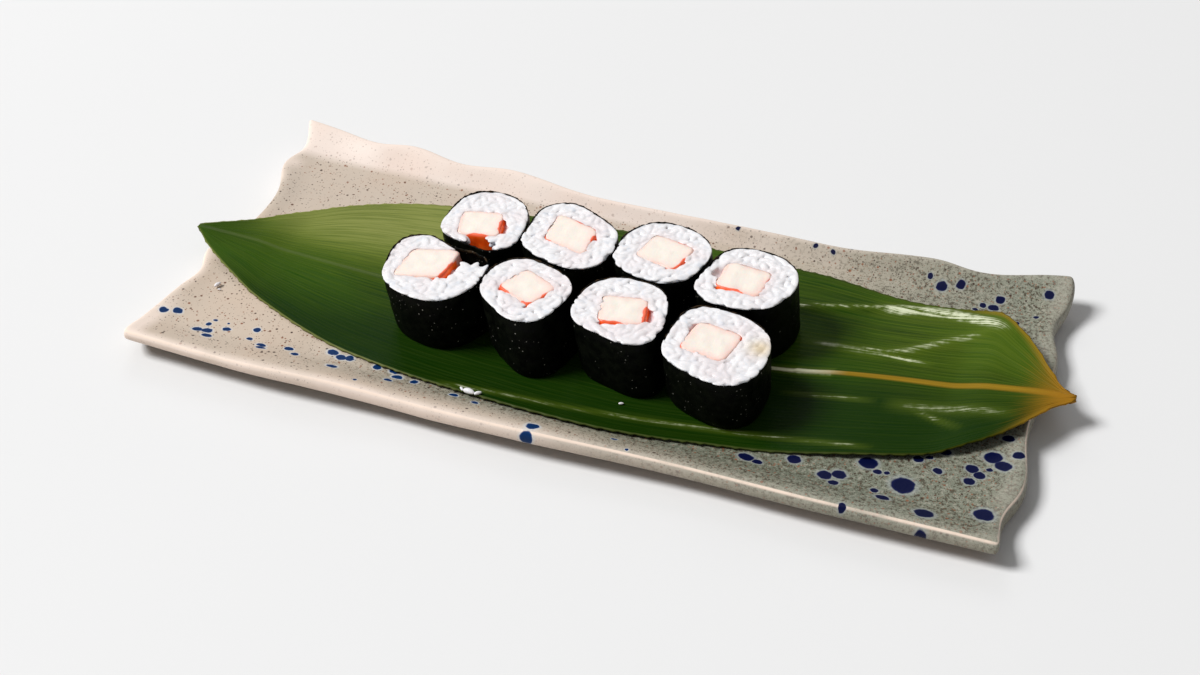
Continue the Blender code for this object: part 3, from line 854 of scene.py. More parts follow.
# The upper left is painted lighter and yellower: a painted sheen. The right gets only a slightly
# fresher green.
painted_sheen_left = times(
    tree, ramp(tree, axes["X"], -0.035, -0.07), ramp(tree, axes["Y"], -0.014, 0.014),
    ramp(tree, axes["X"], -0.135, -0.105),
)
fresh_right = times(tree, ramp(tree, axes["X"], 0.06, 0.12), ramp(tree, axes["Y"], -0.02, 0.02))
sheen_and_fresh_green = maths(tree, "MAXIMUM", painted_sheen_left, times(tree, fresh_right, 0.35))
sheen_and_fresh_green = times(tree, sheen_and_fresh_green, maths(tree, "MULTIPLY_ADD", hairs, 0.5, 0.5))
colour = blend_colours(tree, sheen_and_fresh_green, colour, LEAF_FRESH)
# The palest part of the painted sheen, towards the back of the left.
painted_pale_sheen = times(
    tree, painted_sheen_left, ramp(tree, axes["Y"], -0.006, 0.018),
    maths(tree, "MULTIPLY_ADD", patches, 1.6, 0.05), maths(tree, "MULTIPLY_ADD", hairs, 0.9, 0.35),
)
colour = blend_colours(tree, painted_pale_sheen, colour, PAINTED_SHEEN_PALE)
# Veins and hairs are lightened less inside the painted shade.
lighter = maths(tree, "MULTIPLY_ADD", painted_front_shade, -0.8, 1.0)
raised = times(tree, ramp(tree, ribs, 0.55, 1.0), times(tree, lighter, 0.17))
colour = blend_colours(tree, raised, colour, LEAF_FRESH)
lit_hairs = times(tree, hairs, times(tree, lighter, 0.24))
colour = blend_colours(tree, lit_hairs, colour, LEAF_FRESH)
print("deeper green towards the front")

# %% Painted highlights on the folds, and the margin
painted_highlight_here = read_mark(tree, "painted_highlight")
# Each painted highlight has a soft green painted glow round a whitish core broken by the veins; the
# coat makes the same places glossy.
painted_glow = maths(tree, "POWER", maths(tree, "MAXIMUM", painted_highlight_here, 0.0), 0.4)
colour = blend_colours(tree, times(tree, painted_glow, 0.5), colour, LEAF_FRESH)
crazed = noise_at(tree, place, 520.0, 3.0)
breaks = maths(tree, "MULTIPLY_ADD", hairs, 1.1, maths(tree, "MULTIPLY_ADD", crazed, 1.5, -0.75))
broken_highlight = times(tree, painted_highlight_here, breaks)
colour = blend_colours(tree, ramp(tree, broken_highlight, 0.08, 0.62, 0.0, 0.95), colour, SHEEN)
tree.links.new(ramp(tree, broken_highlight, 0.15, 0.7), shader.inputs["Coat Weight"])
edge = ramp(tree, maths(tree, "ADD", to_margin, times(tree, hairs, 0.4)), 0.9, 0.3)
edge_strength = ramp(tree, axes["X"], -0.02, -0.07, 0.12, 0.35)
edge_colour = blend_colours(tree, ramp(tree, axes["X"], 0.08, 0.12), STRAW, OCHRE)
colour = blend_colours(tree, times(tree, edge, edge_strength), colour, edge_colour)
print("folds shine, the margin dries to straw")

# %% Midrib and stalk
rib_width = ramp(tree, axes["X"], 0.060, 0.120, 1.0, 1.7)
on_rib = ramp(tree, maths(tree, "DIVIDE", rib_distance, rib_width), 1.15, 0.55)
past_rolls = ramp(tree, axes["X"], 0.02, 0.06, 0.05, 1.0)
toward_stalk = ramp(tree, axes["X"], 0.066, 0.078)
rib_colour = blend_colours(tree, toward_stalk, RIB_PALE, OCHRE)
rib_colour = blend_colours(tree, times(tree, hairs, 0.4), rib_colour, (0.14, 0.085, 0.006))
rib_side = ramp(tree, maths(tree, "DIVIDE", rib_distance, rib_width), 0.35, 0.95)
rib_colour = blend_colours(tree, times(tree, rib_side, 0.7), rib_colour, (0.10, 0.075, 0.006))
colour = blend_colours(tree, times(tree, on_rib, past_rolls), colour, rib_colour)
back_side = ramp(tree, axes["Y"], -0.005, 0.012)
from_here = ramp(tree, maths(tree, "MULTIPLY_ADD", back_side, 0.020, axes["X"]), 0.119, 0.139)
frayed_margin = maths(tree, "MULTIPLY_ADD", hairs, 1.4, to_margin)
wide_edge = times(tree, ramp(tree, frayed_margin, 4.2, 0.8), from_here)
colour = blend_colours(tree, times(tree, wide_edge, 0.75), colour, OCHRE)
browning = ramp(tree, maths(tree, "MULTIPLY_ADD", hairs, 0.008, axes["X"]), 0.129, 0.145)
colour = blend_colours(tree, browning, colour, STALK_BROWN)
tree.links.new(colour, shader.inputs["Base Color"])
tree.links.new(ramp(tree, hairs, 0.0, 1.0, 0.34, 0.48), shader.inputs["Roughness"])
height = maths(tree, "MULTIPLY_ADD", ribs, 0.3, hairs)
add_bump(tree, shader, height, 0.3, 0.22)
print("leaf finish has", len(tree.nodes), "nodes")

# %% Laying the leaf
leaf = add_piece("leaf_veined", leaf_mesh, leaf_finish, ["leaf"])
blade = leaf.modifiers.new("blade", "SOLIDIFY")
blade.thickness = LEAF_THICKNESS * MM
blade.offset = 1.0
print("leaf laid")

# %% [markdown]
# ## The rolls
# A thin roll is a sheet of nori round a layer of rice round one filling. Cut into pieces and
# stood up, the pieces press on each other, so none stays round. Each outline is a circle with a
# few slow swells, flattened where a neighbour leans on it, and the whole piece slants a little
# because the knife did. These numbers are the same as the frame's.

# %% Roll sizes
# A swell is a share of the radius and the direction it points in, for two, three and four lobes.
# The foot is how far a roll's foot lies from under its top.
ROLLS = {
    "front_1": dict(
        centre=(-47.2, -21.2), top=27.7, radius=15.4, swells=((0.086, -19), (0.083, 20), (0.056, 35)),
        foot=(1.9, 1.4), stick_offset=(-2.4, 1.4), stick=(15.2, 14.0), stick_turn=16,
    ),
    "front_2": dict(
        centre=(-17.1, -21.8), top=28.5, radius=13.9, swells=((0.064, -52), (0.045, 41), (0.043, 23)),
        foot=(3.2, -0.8), stick_offset=(0.6, 0.4), stick=(13.4, 12.2), stick_turn=-26,
    ),
    "front_3": dict(
        centre=(13.0, -21.4), top=28.5, radius=14.7, swells=((0.047, -50), (0.057, -49), (0.045, 41)),
        foot=(2.6, 0.4), stick_offset=(0.6, -0.8), stick=(14.0, 12.6), stick_turn=12,
    ),
    "front_4": dict(
        centre=(43.2, -26.1), top=27.2, radius=16.2, swells=((0.068, -56), (0.006, -30), (0.048, 34)),
        foot=(0.8, 2.8), stick_offset=(-1.8, 0.4), stick=(14.6, 14.0), stick_turn=-9,
    ),
    "back_1": dict(
        centre=(-41.0, 5.8), top=28.5, radius=14.3, swells=((0.074, -75), (0.025, -37), (0.033, 41)),
        foot=(2.0, 0.6), stick_offset=(-0.8, -2.6), stick=(13.2, 12.4), stick_turn=12,
    ),
    "back_2": dict(
        centre=(-13.9, 6.7), top=28.7, radius=15.4, swells=((0.087, -44), (0.021, -12), (0.042, 30)),
        foot=(2.2, 0.4), stick_offset=(0.2, 0.4), stick=(15.4, 13.6), stick_turn=-16,
    ),
    "back_3": dict(
        centre=(15.1, 8.8), top=28.4, radius=14.9, swells=((0.007, 64), (0.011, -59), (0.029, 29)),
        foot=(2.2, 0.4), stick_offset=(1.0, -0.2), stick=(14.6, 13.0), stick_turn=-12,
    ),
    "back_4": dict(
        centre=(43.0, 4.7), top=28.3, radius=14.9, swells=((0.056, 58), (0.030, -7), (0.037, 38)),
        foot=(2.0, 0.8), stick_offset=(-0.9, -0.8), stick=(14.4, 13.0), stick_turn=-6,
    ),
}
for number, (name, roll) in enumerate(ROLLS.items()):
    roll["name"] = name
    roll["seed"] = number + 1
# The rolls stand on the frame's leaf, with a hair's room under and over it.
FRAME_LEAF_THICKNESS, TOUCH_GAP = 0.6, 0.3
ROLL_BASE = PLATE_THICKNESS + FRAME_LEAF_THICKNESS + 2 * TOUCH_GAP
print("rolls:", ", ".join(ROLLS))

# %% Roll outlines
FOOT_SHARE = 0.97
FLATTENING = 0.9
NEIGHBOUR_WITHIN = 4.0
WALL_GAP = 0.18
WALL_FACING = 0.3


def centre_at(roll, level):
    """Centre of a roll at levels from 0, its foot, to 1, its top: x and y in columns."""
    slant = 1.0 - np.asarray(level, float)
    return np.array(roll["centre"], float) + slant[..., None] * np.array(roll["foot"], float)


def soft_min(a, b, width):
    """The smaller of two lengths, rounded over a width where they are close."""
    share = np.maximum(0.0, width - np.abs(a - b)) / width
    return np.minimum(a, b) - share * share * width / 4


def outline(roll, angle, level):
    """Distance from the roll's centre to its outside."""
    swell = sum(
        share * np.cos(lobes * (angle - math.radians(direction)))
        for lobes, (share, direction) in enumerate(roll["swells"], start=2)
    )
    reach = roll["radius"] * (1.0 + swell) * (FOOT_SHARE + (1.0 - FOOT_SHARE) * level)
    for other in ROLLS.values():
        apart = centre_at(other, level) - centre_at(roll, level)
        distance = np.hypot(apart[..., 0], apart[..., 1])
        both = roll["radius"] + other["radius"]
        if other is roll or distance.min() > both + NEIGHBOUR_WITHIN:
            continue
        facing = np.cos(angle - np.arctan2(apart[..., 1], apart[..., 0]))
        wall = distance * roll["radius"] / both - WALL_GAP
        pressed = soft_min(reach, wall / np.maximum(facing, WALL_FACING), FLATTENING)
        reach = np.where(facing > WALL_FACING, pressed, reach)
    return reach


for name, roll in ROLLS.items():
    around = np.linspace(-math.pi, math.pi, 90)
    reach = outline(roll, around, np.ones(90))
    narrow, wide = (round(float(2 * side), 1) for side in (reach.min(), reach.max()))
    print(name, "is", narrow, "to", wide, "mm across")

# %% [markdown]
# ### Nori
# The wrap is one thin toasted sheet, nearly black with a green cast. It shrinks as it
# takes up moisture, so it crinkles, and the knife leaves a ragged lip at the cut. A rolled-up
# grid gives a tube; noise pushes it in and out, and moves its top edge up and down.

# %% The wrap's shape
NORI_THICKNESS = 0.35
SKIN_RADIUS = 15.0
KNIFE_SIDE = math.radians(-69.5)


def knife_side(angle):
    """1 where the knife came in and dragged rice over the wrap, 0 on the far side."""
    return smooth_step(np.cos(angle - KNIFE_SIDE) + 0.5)


def nori_lip(roll, angle):
    """Height of the ragged top edge of a wrap."""
    ring = ring_points(angle, SKIN_RADIUS, np.zeros_like(angle))
    slow = soft_noise(ring, 6.0, roll["seed"])
    quick = soft_noise(ring, 0.9, roll["seed"] + 40)
    ragged = 0.22 * slow + 0.36 * quick
    return roll["top"] - 0.10 + ragged - knife_side(angle) * (1.10 + 0.5 * ragged)


def nori_place(roll):
    """The rule that moves a grid to a roll's wrap."""
    def place(u, v):
        angle = u * math.pi
        level = (v + 1.0) / 2.0
        reach = outline(roll, angle, level)
        skin = ring_points(angle, SKIN_RADIUS, level * 21)
        crinkle = 0.16 * soft_noise(skin, 3.2, roll["seed"] + 10)
        crinkle = crinkle + 0.07 * soft_noise(skin, 1.0, roll["seed"] + 20)
        # The cut edges curl in a little, at the foot and under the rice.
        curl = 0.35 * smooth_step((level - 0.86) / 0.14) + 0.5 * smooth_step((0.10 - level) / 0.10)
        reach = reach - 0.12 + crinkle - curl
        centre = centre_at(roll, level)
        height = ROLL_BASE + level * (nori_lip(roll, angle) - ROLL_BASE)
        return np.stack(
            (centre[:, 0] + reach * np.cos(angle), centre[:, 1] + reach * np.sin(angle), height), axis=1
        )
    return place


print("nori", NORI_THICKNESS, "mm thick")

# %% Nori finish
NORI_BLACK = (0.0010, 0.0012, 0.0009)
NORI_GREEN = (0.0028, 0.0036, 0.0018)
NORI_BROWN = (0.060, 0.036, 0.018)
GLINT_HIGHLIGHT = (0.40, 0.38, 0.34)
nori_finish, tree, shader, place = new_finish("nori", Specular_IOR_Level=0.05)
paper = use_group(tree, unevenness, {"Place": place, "Broad scale": 420.0, "Fine scale": 2600.0})
colour = blend_colours(tree, ramp(tree, paper["Broad"], 0.4, 0.65), NORI_BLACK, NORI_GREEN)
# The bright specks on the nori are painted glints: painted highlights.
glints = use_group(tree, specks, {
    "Place": place, "Cells per metre": 900.0, "Dot radius": 0.00028, "Share": 0.4,
})
gather = noise_at(tree, place, 130.0, 1.0)
glint = times(tree, glints["Mask"], ramp(tree, gather, 0.46, 0.62))
colour = blend_colours(tree, times(tree, glint, 0.6), colour, GLINT_HIGHLIGHT)
below_lip = read_mark(tree, "below_lip")
lip = times(tree, ramp(tree, below_lip, 1.5, 0.3), ramp(tree, paper["Broad"], 0.45, 0.62))
colour = blend_colours(tree, times(tree, lip, 0.7), colour, NORI_BROWN)
tree.links.new(colour, shader.inputs["Base Color"])
tree.links.new(ramp(tree, paper["Broad"], 0.35, 0.7, 0.36, 0.62), shader.inputs["Roughness"])
add_bump(tree, shader, paper["Height"], 0.55, 0.3)
print("nori finish has", len(tree.nodes), "nodes")

# %% Wrapping the rolls
for name, roll in ROLLS.items():
    tube = grid_mesh("wrap_" + name, (150, 26), nori_place(roll))
    mark(tube, "below_lip", roll["top"] - points_of(tube)[:, 2])
    rolled_up(tube, closed=False)
    wrap = add_piece("wrap_" + name, tube, nori_finish, ["nori_" + name])
    sheet_thickness = wrap.modifiers.new("sheet", "SOLIDIFY")
    sheet_thickness.thickness = NORI_THICKNESS * MM
    sheet_thickness.offset = -1.0
print("wraps made:", len(ROLLS))

# %% [markdown]
# ### Crab stick
# Crab stick is pressed white fish paste with an orange-red skin. On the cut it is creamy in the
# middle and pink towards the skin, with the fine lines of its layers. Down its sides the skin
# shows wherever the rice has come away. One grid, rolled up, runs from the middle of the top out
# over the rounded edge and down the side, so it is a single closed body.

# %% The stick's section
STICK_SKEW = {"front_1": 0.32, "back_2": -0.28}
CORNER_SHARPNESS = 7.0


def box_reach(roll, angle):
    """Distance from a stick's middle to its side, at angles in the stick's own directions."""
    half_w, half_d = roll["stick"][0] / 2, roll["stick"][1] / 2
    skew = STICK_SKEW.get(roll["name"], 0.0)
    c, s = np.abs(np.cos(angle) - skew * np.sin(angle)), np.abs(np.sin(angle))
    near = (c / half_w) ** CORNER_SHARPNESS + (s / half_d) ** CORNER_SHARPNESS
    return near ** (-1.0 / CORNER_SHARPNESS)


def stick_middle(roll, level):
    return centre_at(roll, level) + np.array(roll["stick_offset"], float)


print("slanted sticks:", ", ".join(STICK_SKEW))

# %% The stick's shape
# A run of the grid crosses the top first, then goes down the side, and crosses the foot last.
TOP_RUN, FOOT_START, FOOT_RUN = 0.45, 0.9, 0.1
SINK = 0.25


def stick_place(roll):
    """The rule that moves a grid to a roll's crab stick."""
    turn = math.radians(roll["stick_turn"])
    top = roll["top"]

    def place(u, v):
        angle = u * math.pi
        run = (v + 1.0) / 2.0
        share_out = np.minimum(run / TOP_RUN, 1.0)
        share_down = np.clip((run - TOP_RUN) / (FOOT_START - TOP_RUN), 0.0, 1.0)
        share_in = np.clip((run - FOOT_START) / FOOT_RUN, 0.0, 1.0)
        full = box_reach(roll, angle)
        to_edge = np.clip((share_out - 0.9) / 0.1, 0, 1)
        edge_round = 0.45 * (1.0 - np.sqrt(np.clip(1.0 - to_edge ** 2, 0, 1)))
        skin = ring_points(angle, 7.0, share_down * 20)
        wobble = 0.16 * soft_noise(skin, 1.6, roll["seed"] + 60)
        wobble = wobble + 0.42 * soft_noise(skin, 4.0, roll["seed"] + 65)
        reach = (full + 0.1 + wobble) * share_out * (1.0 - share_in)
        height = top - SINK - edge_round - share_down * (top - 0.7 - ROLL_BASE)
        across = reach * np.cos(angle) * np.cos(turn) - reach * np.sin(angle) * np.sin(turn)
        deep = reach * np.cos(angle) * np.sin(turn) + reach * np.sin(angle) * np.cos(turn)
        face = np.stack((across, deep, np.full_like(across, roll["seed"])), axis=1)
        uneven = 0.14 * soft_noise(face, 3.4, roll["seed"] + 70)
        height = height + np.where(share_down > 0, 0.0, uneven)
        level = np.clip((height - ROLL_BASE) / (top - ROLL_BASE), 0.0, 1.0)
        middle = stick_middle(roll, level)
        return np.stack((middle[:, 0] + across, middle[:, 1] + deep, height), axis=1)
    return place


print("the sticks' tops lie", SINK, "mm under the cut")

# %% Stick finish: fibres and pink edges
STICK_CREAM = (0.91, 0.84, 0.75)
STICK_PINK = (0.90, 0.56, 0.48)
STICK_BLUSH = (0.92, 0.68, 0.61)
STICK_SKIN = (0.96, 0.090, 0.005)
SKIN_PALE = (0.92, 0.16, 0.02)
# The emission strength is painted light for the skin's glow.
stick_finish, tree, shader, place = new_finish(
    "crab_stick", Specular_IOR_Level=0.4, Subsurface_Weight=0.18, Subsurface_Scale=0.0015,
    Emission_Strength=0.16,
)
shader.inputs["Subsurface Radius"].default_value = (1.0, 0.45, 0.3)
to_side = read_mark(tree, "to_side")
below_top = read_mark(tree, "below_top")
pinkness = read_mark(tree, "pinkness")
layers = use_group(
    tree, streaks, {"Place": place, "Stretch": (1.0, 0.22, 0.3), "Scale": 900.0}
)["Value"]
clouds = noise_at(tree, place, 330.0, 3.0)
skin_line = read_mark(tree, "skin_line")
broad_side = ramp(tree, maths(tree, "MULTIPLY_ADD", clouds, 2.5, to_side), 5.2, 1.4)
toward_pink = times(tree, broad_side, maths(tree, "MULTIPLY_ADD", pinkness, 0.75, 0.25))
colour = blend_colours(tree, toward_pink, STICK_CREAM, STICK_BLUSH)
colour = blend_colours(tree, times(tree, layers, 0.12), colour, STICK_BLUSH)
uneven_side = maths(tree, "MULTIPLY_ADD", clouds, 1.6, to_side)
colour = blend_colours(tree, ramp(tree, uneven_side, 2.2, 0.7, 0.0, 0.75), colour, STICK_PINK)
print("pink towards the sides")

# %% Stick finish: the skin
line_here = maths(tree, "SUBTRACT", skin_line, uneven_side)
colour = blend_colours(tree, ramp(tree, line_here, -0.25, 0.2, 0.0, 0.9), colour, STICK_SKIN)
skin_mask = ramp(tree, maths(tree, "MULTIPLY_ADD", clouds, 0.5, below_top), 0.5, 0.85)
skin_here = maths(tree, "MAXIMUM", ramp(tree, skin_line, 0.05, 0.7), 0.15)
skin_shows = times(tree, skin_mask, skin_here)
shade = blend_colours(tree, ramp(tree, clouds, 0.35, 0.65), STICK_SKIN, SKIN_PALE)
colour = blend_colours(tree, skin_shows, colour, shade)
tree.links.new(colour, shader.inputs["Base Color"])
tree.links.new(ramp(tree, clouds, 0.3, 0.7, 0.28, 0.42), shader.inputs["Roughness"])
# The skin is made to glow a little: painted light that lifts it where it faces away from the lamps.
painted_glow = blend_colours(tree, skin_shows, (0.0, 0.0, 0.0), STICK_SKIN)
tree.links.new(painted_glow, shader.inputs["Emission Color"])
height = maths(tree, "MULTIPLY_ADD", layers, 0.5, clouds)
add_bump(tree, shader, height, 0.2, 0.2)
print("stick finish has", len(tree.nodes), "nodes")

# %% Where pink and skin show
PINKNESS = {"front_1": 0.35, "front_2": 0.6, "front_3": 0.6, "front_4": 0.9,
            "back_1": 0.3, "back_2": 0.5, "back_3": 0.35, "back_4": 0.6}
# Where the skin's cut edge shows on top: direction, half a spread in degrees, how wide in mm.
SKIN_LINES = {
    "front_1": ((-12, 40, 1.6),),
    "front_2": ((-150, 30, 1.5), (-70, 16, 1.7), (-10, 26, 1.4)),
    "front_3": ((-100, 40, 1.6), (0, 38, 1.9)),
    "front_4": ((30, 12, 1.3), (-150, 12, 1.3)),
    "back_1": ((-76, 34, 1.5), (8, 36, 1.7)),
    "back_2": ((60, 50, 1.3), (-150, 40, 1.3), (0, 20, 1.5)),
    "back_3": ((-30, 34, 1.7), (60, 14, 1.4)),
    "back_4": ((-115, 45, 1.6), (10, 16, 1.3)),
}
print("skin edges on top:", sum(len(lines) for lines in SKIN_LINES.values()))

# %% Filling the rolls
for name, roll in ROLLS.items():
    body = rolled_up(grid_mesh("filling_" + name, (96, 44), stick_place(roll)))
    points = points_of(body)
    level = np.clip((points[:, 2] - ROLL_BASE) / (roll["top"] - ROLL_BASE), 0.0, 1.0)
    offset = points[:, :2] - stick_middle(roll, level)
    angle = np.arctan2(offset[:, 1], offset[:, 0]) - math.radians(roll["stick_turn"])
    to_side = box_reach(roll, angle) - np.hypot(offset[:, 0], offset[:, 1])
    mark(body, "to_side", np.maximum(to_side, 0.0))
    mark(body, "below_top", roll["top"] - SINK - points[:, 2])
    # The pink goes deeper on the side where the skin was thickest.
    thick_side = (offset[:, 0] - 0.3 * offset[:, 1]) / roll["stick"][0]
    mark(body, "pinkness", np.clip(PINKNESS[name] + 0.9 * thick_side, 0.0, 1.0))
    world_angle = angle + math.radians(roll["stick_turn"])
    line_width = np.zeros(len(points))
    for direction, spread, width in SKIN_LINES[name]:
        off = degrees_off(world_angle, direction)
        line_width = np.maximum(line_width, width * smooth_step(1.4 - off / spread))
    mark(body, "skin_line", line_width)
    add_piece("filling_" + name, body, stick_finish, ["crab_stick_" + name])
print("crab sticks made:", len(ROLLS))

# %% [markdown]
# ### Rice
# Sushi rice is short, plump and sticky: the grains keep their shape but weld where they touch,
# and the knife smears the ones it meets. A few thousand loose grains would leave gaps that
# pressed rice does not have. So the grains are strewn over a core ring, joined with it, and
# remeshed as one skin, which welds them just as pressing does. The skin is then trimmed to the
# cut and to the wrap.
#
# Windows are where the rice has come away from the stick, and show its skin: each is a
# direction, half a spread in degrees and a depth in mm. A break is a window that goes right
# through the ring.

# %% Where the rice opens
RICE_WINDOWS = {
    "front_1": ((-14, 34, 2.6),),
    "front_2": ((-152, 22, 1.5), (-72, 12, 2.6), (-22, 8, 1.6), (12, 6, 1.2)),
    "front_3": ((-104, 28, 1.9), (2, 28, 2.8)),
    "front_4": ((152, 22, 2.6), (-140, 10, 1.2), (28, 9, 0.8)),
    "back_1": ((8, 34, 2.3),),
    "back_2": ((4, 12, 1.2), (50, 8, 0.8)),
    "back_3": ((-24, 12, 2.8), (172, 12, 1.7), (66, 6, 1.0)),
    "back_4": ((-118, 24, 1.9), (178, 22, 2.8)),
}
RICE_BREAKS = {"front_1": (42, 27), "back_1": (-74, 32)}
WINDOW_FLOOR = 3.0
print("windows in the rice:", sum(len(spots) for spots in RICE_WINDOWS.values()))

# %% Room for the rice
def hole_reach(roll, angle, below=0.0):
    """Distance from the stick's middle to the inside of the rice, at world angles and at
    depths below the cut. A window narrows downwards to a bank of rice."""
    reach = box_reach(roll, angle - math.radians(roll["stick_turn"])) - 0.05
    open_here = smooth_step((WINDOW_FLOOR - below) / 1.6)
    for direction, spread, depth in RICE_WINDOWS[roll["name"]]:
        off = degrees_off(angle, direction)
        reach = reach + open_here * depth * smooth_step(1.35 - off / spread)
    return reach


def in_break(roll, angle, extra=0.0):
    """Whether world angles are in the roll's break, or within extra degrees of it."""
    if roll["name"] not in RICE_BREAKS:
        return np.zeros_like(np.asarray(angle, float), bool)
    direction, spread = RICE_BREAKS[roll["name"]]
    return degrees_off(angle, direction) < spread + extra


def from_stick(roll, x, y, level):
    """Angle and distance of places from the stick's middle."""
    middle = stick_middle(roll, level)
    dx, dy = x - middle[..., 0], y - middle[..., 1]
    return np.arctan2(dy, dx), np.hypot(dx, dy)


def outside_room(roll, x, y, level):
    """How far places are inside the wrap."""
    centre = centre_at(roll, level)
    dx, dy = x - centre[..., 0], y - centre[..., 1]
    return outline(roll, np.arctan2(dy, dx), level) - np.hypot(dx, dy)


print("breaks through the ring:", ", ".join(RICE_BREAKS))

# %% One grain
def grain_mesh():
    """A plump grain along X, 1 long each way from its middle, with a little bend and a dimple."""
    body = bmesh.new()
    bmesh.ops.create_icosphere(body, subdivisions=3, radius=1.0)
    for point in body.verts:
        x, y, z = point.co
        waist = 0.47 * (1.0 - 0.10 * x)
        point.co = (x, y * waist + 0.10 * (1.0 - x * x), z * waist * 0.92)
    return body


plain_grain = grain_mesh()
GRAIN_POINTS = np.array([point.co for point in plain_grain.verts])
GRAIN_FACES = [[corner.index for corner in face.verts] for face in plain_grain.faces]
plain_grain.free()
print("grain points", len(GRAIN_POINTS))

# %% A core to lay grains on
BREAK_MARGIN = 6.0
CORE_TO_WRAP = 0.7


def core_mesh(roll, low, high, cells):
    """A ring, or a C where the rice is broken, between the stick and the wrap."""
    if roll["name"] in RICE_BREAKS:
        direction, spread = RICE_BREAKS[roll["name"]]
        start = math.radians(direction + spread + BREAK_MARGIN)
        sweep = 2 * math.pi - 2 * math.radians(spread + BREAK_MARGIN)
    else:
        start, sweep = 0.0, 2 * math.pi

    def place(u, v):
        angle = start + (u + 1.0) / 2.0 * sweep
        turn = v * math.pi
        out = np.clip(0.5 + 0.75 * np.cos(turn), 0.0, 1.0)
        up = np.clip(0.5 + 0.9 * np.sin(turn), 0.0, 1.0)
        height = low + up * (high - low)
        level = (height - ROLL_BASE) / (roll["top"] - ROLL_BASE)
        middle = stick_middle(roll, level)
        inner = hole_reach(roll, angle, roll["top"] - height)
        step = np.linspace(0.0, 20.0, 81)
        x = middle[:, 0, None] + np.cos(angle)[:, None] * step
        y = middle[:, 1, None] + np.sin(angle)[:, None] * step
        room = outside_room(roll, x, y, np.broadcast_to(level[:, None], x.shape))
        outer = step[np.argmax(room < CORE_TO_WRAP, axis=1)]
        outer = np.maximum(outer, inner + 0.25)
        reach = inner + out * (outer - inner)
        return np.stack(
            (middle[:, 0] + reach * np.cos(angle), middle[:, 1] + reach * np.sin(angle), height), axis=1
        )

    return rolled_up(grid_mesh("core", cells, place))


print("the core stays", CORE_TO_WRAP, "mm inside the wrap")

# %% Strewing the grains
# Each layer is a depth under the cut, the least spacing and the most grains.
GRAIN_LAYERS = ((0.62, 1.55, 190), (1.9, 2.0, 110), (3.6, 2.6, 60))
TRIES_PER_GRAIN = 14
GRAIN_HALF_LENGTHS = (2.1, 2.75)
BESIDE_WALL = 1.7


def strew_grains(roll):
    """Rows of points and faces for the grains of one roll: they lie in layers under the cut."""
    rng = random.Random(roll["seed"] * 101)
    points, faces = [], []
    for depth, spacing, most in GRAIN_LAYERS:
        laid = []
        for _ in range(most * TRIES_PER_GRAIN):
            if len(laid) == most:
                break
            height = roll["top"] - depth + rng.uniform(-0.3, 0.25)
            level = np.array((height - ROLL_BASE) / (roll["top"] - ROLL_BASE))
            angle = rng.uniform(-math.pi, math.pi)
            centre = centre_at(roll, level)
            reach = roll["radius"] * 1.2 * math.sqrt(rng.uniform(0.1, 1.0))
            x = centre[0] + reach * math.cos(angle)
            y = centre[1] + reach * math.sin(angle)
            toward, away = from_stick(roll, x, y, level)
            inside = away - float(hole_reach(roll, np.array(toward), roll["top"] - height))
            room = float(outside_room(roll, x, y, level))
            least_inside = -0.1 if depth < 1.0 else 0.5
            if inside < least_inside or room < 0.55 or bool(in_break(roll, toward, 1.0)):
                continue
            if any(math.hypot(x - a, y - b) < spacing for a, b in laid):
                continue
            laid.append((x, y))
            # A grain beside a wall lies along it.
            if min(inside, room) < BESIDE_WALL:
                yaw = toward + math.pi / 2 + rng.gauss(0.0, 0.25)
            else:
                yaw = rng.uniform(0, math.pi)
            size = rng.uniform(*GRAIN_HALF_LENGTHS)
            turn = Matrix.Rotation(yaw, 3, "Z") @ Matrix.Rotation(rng.gauss(0.0, 0.22), 3, "Y")
            turn = turn @ Matrix.Rotation(rng.uniform(0, 6.28), 3, "X")
            first = len(points) * len(GRAIN_POINTS)
            points.append(GRAIN_POINTS @ np.array(turn).T * size + np.array((x, y, height)))
            faces.extend([[corner + first for corner in face] for face in GRAIN_FACES])
    return np.concatenate(points), faces, len(points)


print("layers of grains:", len(GRAIN_LAYERS))

# %% [markdown]
# ### Welding and trimming
# A voxel remesh makes one skin round everything that overlaps, at a cell size that still keeps
# the groove between two grains. Smoothing settles it by one step. Only the top few millimetres
# are made this way; the wrap hides the rest, so a plain ring of rice goes down to the leaf.

# %% Welding the grains
VOXEL = 0.28


def welded(name, core, rest, grain_points, grain_faces):
    """Core and grains joined and remeshed as one skin, with the plain rest below."""
    strewn = bpy.data.meshes.new(name + "_strewn")
    strewn.from_pydata((grain_points * MM).tolist(), [], grain_faces)
    both = bmesh.new()
    both.from_mesh(core)
    both.from_mesh(strewn)
    both.to_mesh(strewn)
    both.free()
    pile = bpy.data.objects.new(name + "_pile", strewn)
    bpy.context.scene.collection.objects.link(pile)
    weld = pile.modifiers.new("weld", "REMESH")
    weld.mode = "VOXEL"
    weld.voxel_size = VOXEL * MM
    settle = pile.modifiers.new("settle", "SMOOTH")
    settle.factor = 0.5
    settle.iterations = 1
    seen = pile.evaluated_get(bpy.context.evaluated_depsgraph_get())
    made = bpy.data.meshes.new_from_object(seen)
    bpy.data.objects.remove(pile)
    bpy.data.meshes.remove(strewn)
    made.name = name
    # The rice that the wrap hides needs no grains.
    whole = bmesh.new()
    whole.from_mesh(made)
    whole.from_mesh(rest)
    whole.to_mesh(made)
    whole.free()
    return made


print("welding cells", VOXEL, "mm")

# %% Cutting and trimming
CUT_BAND, CUT_SQUEEZE = 0.6, 0.34


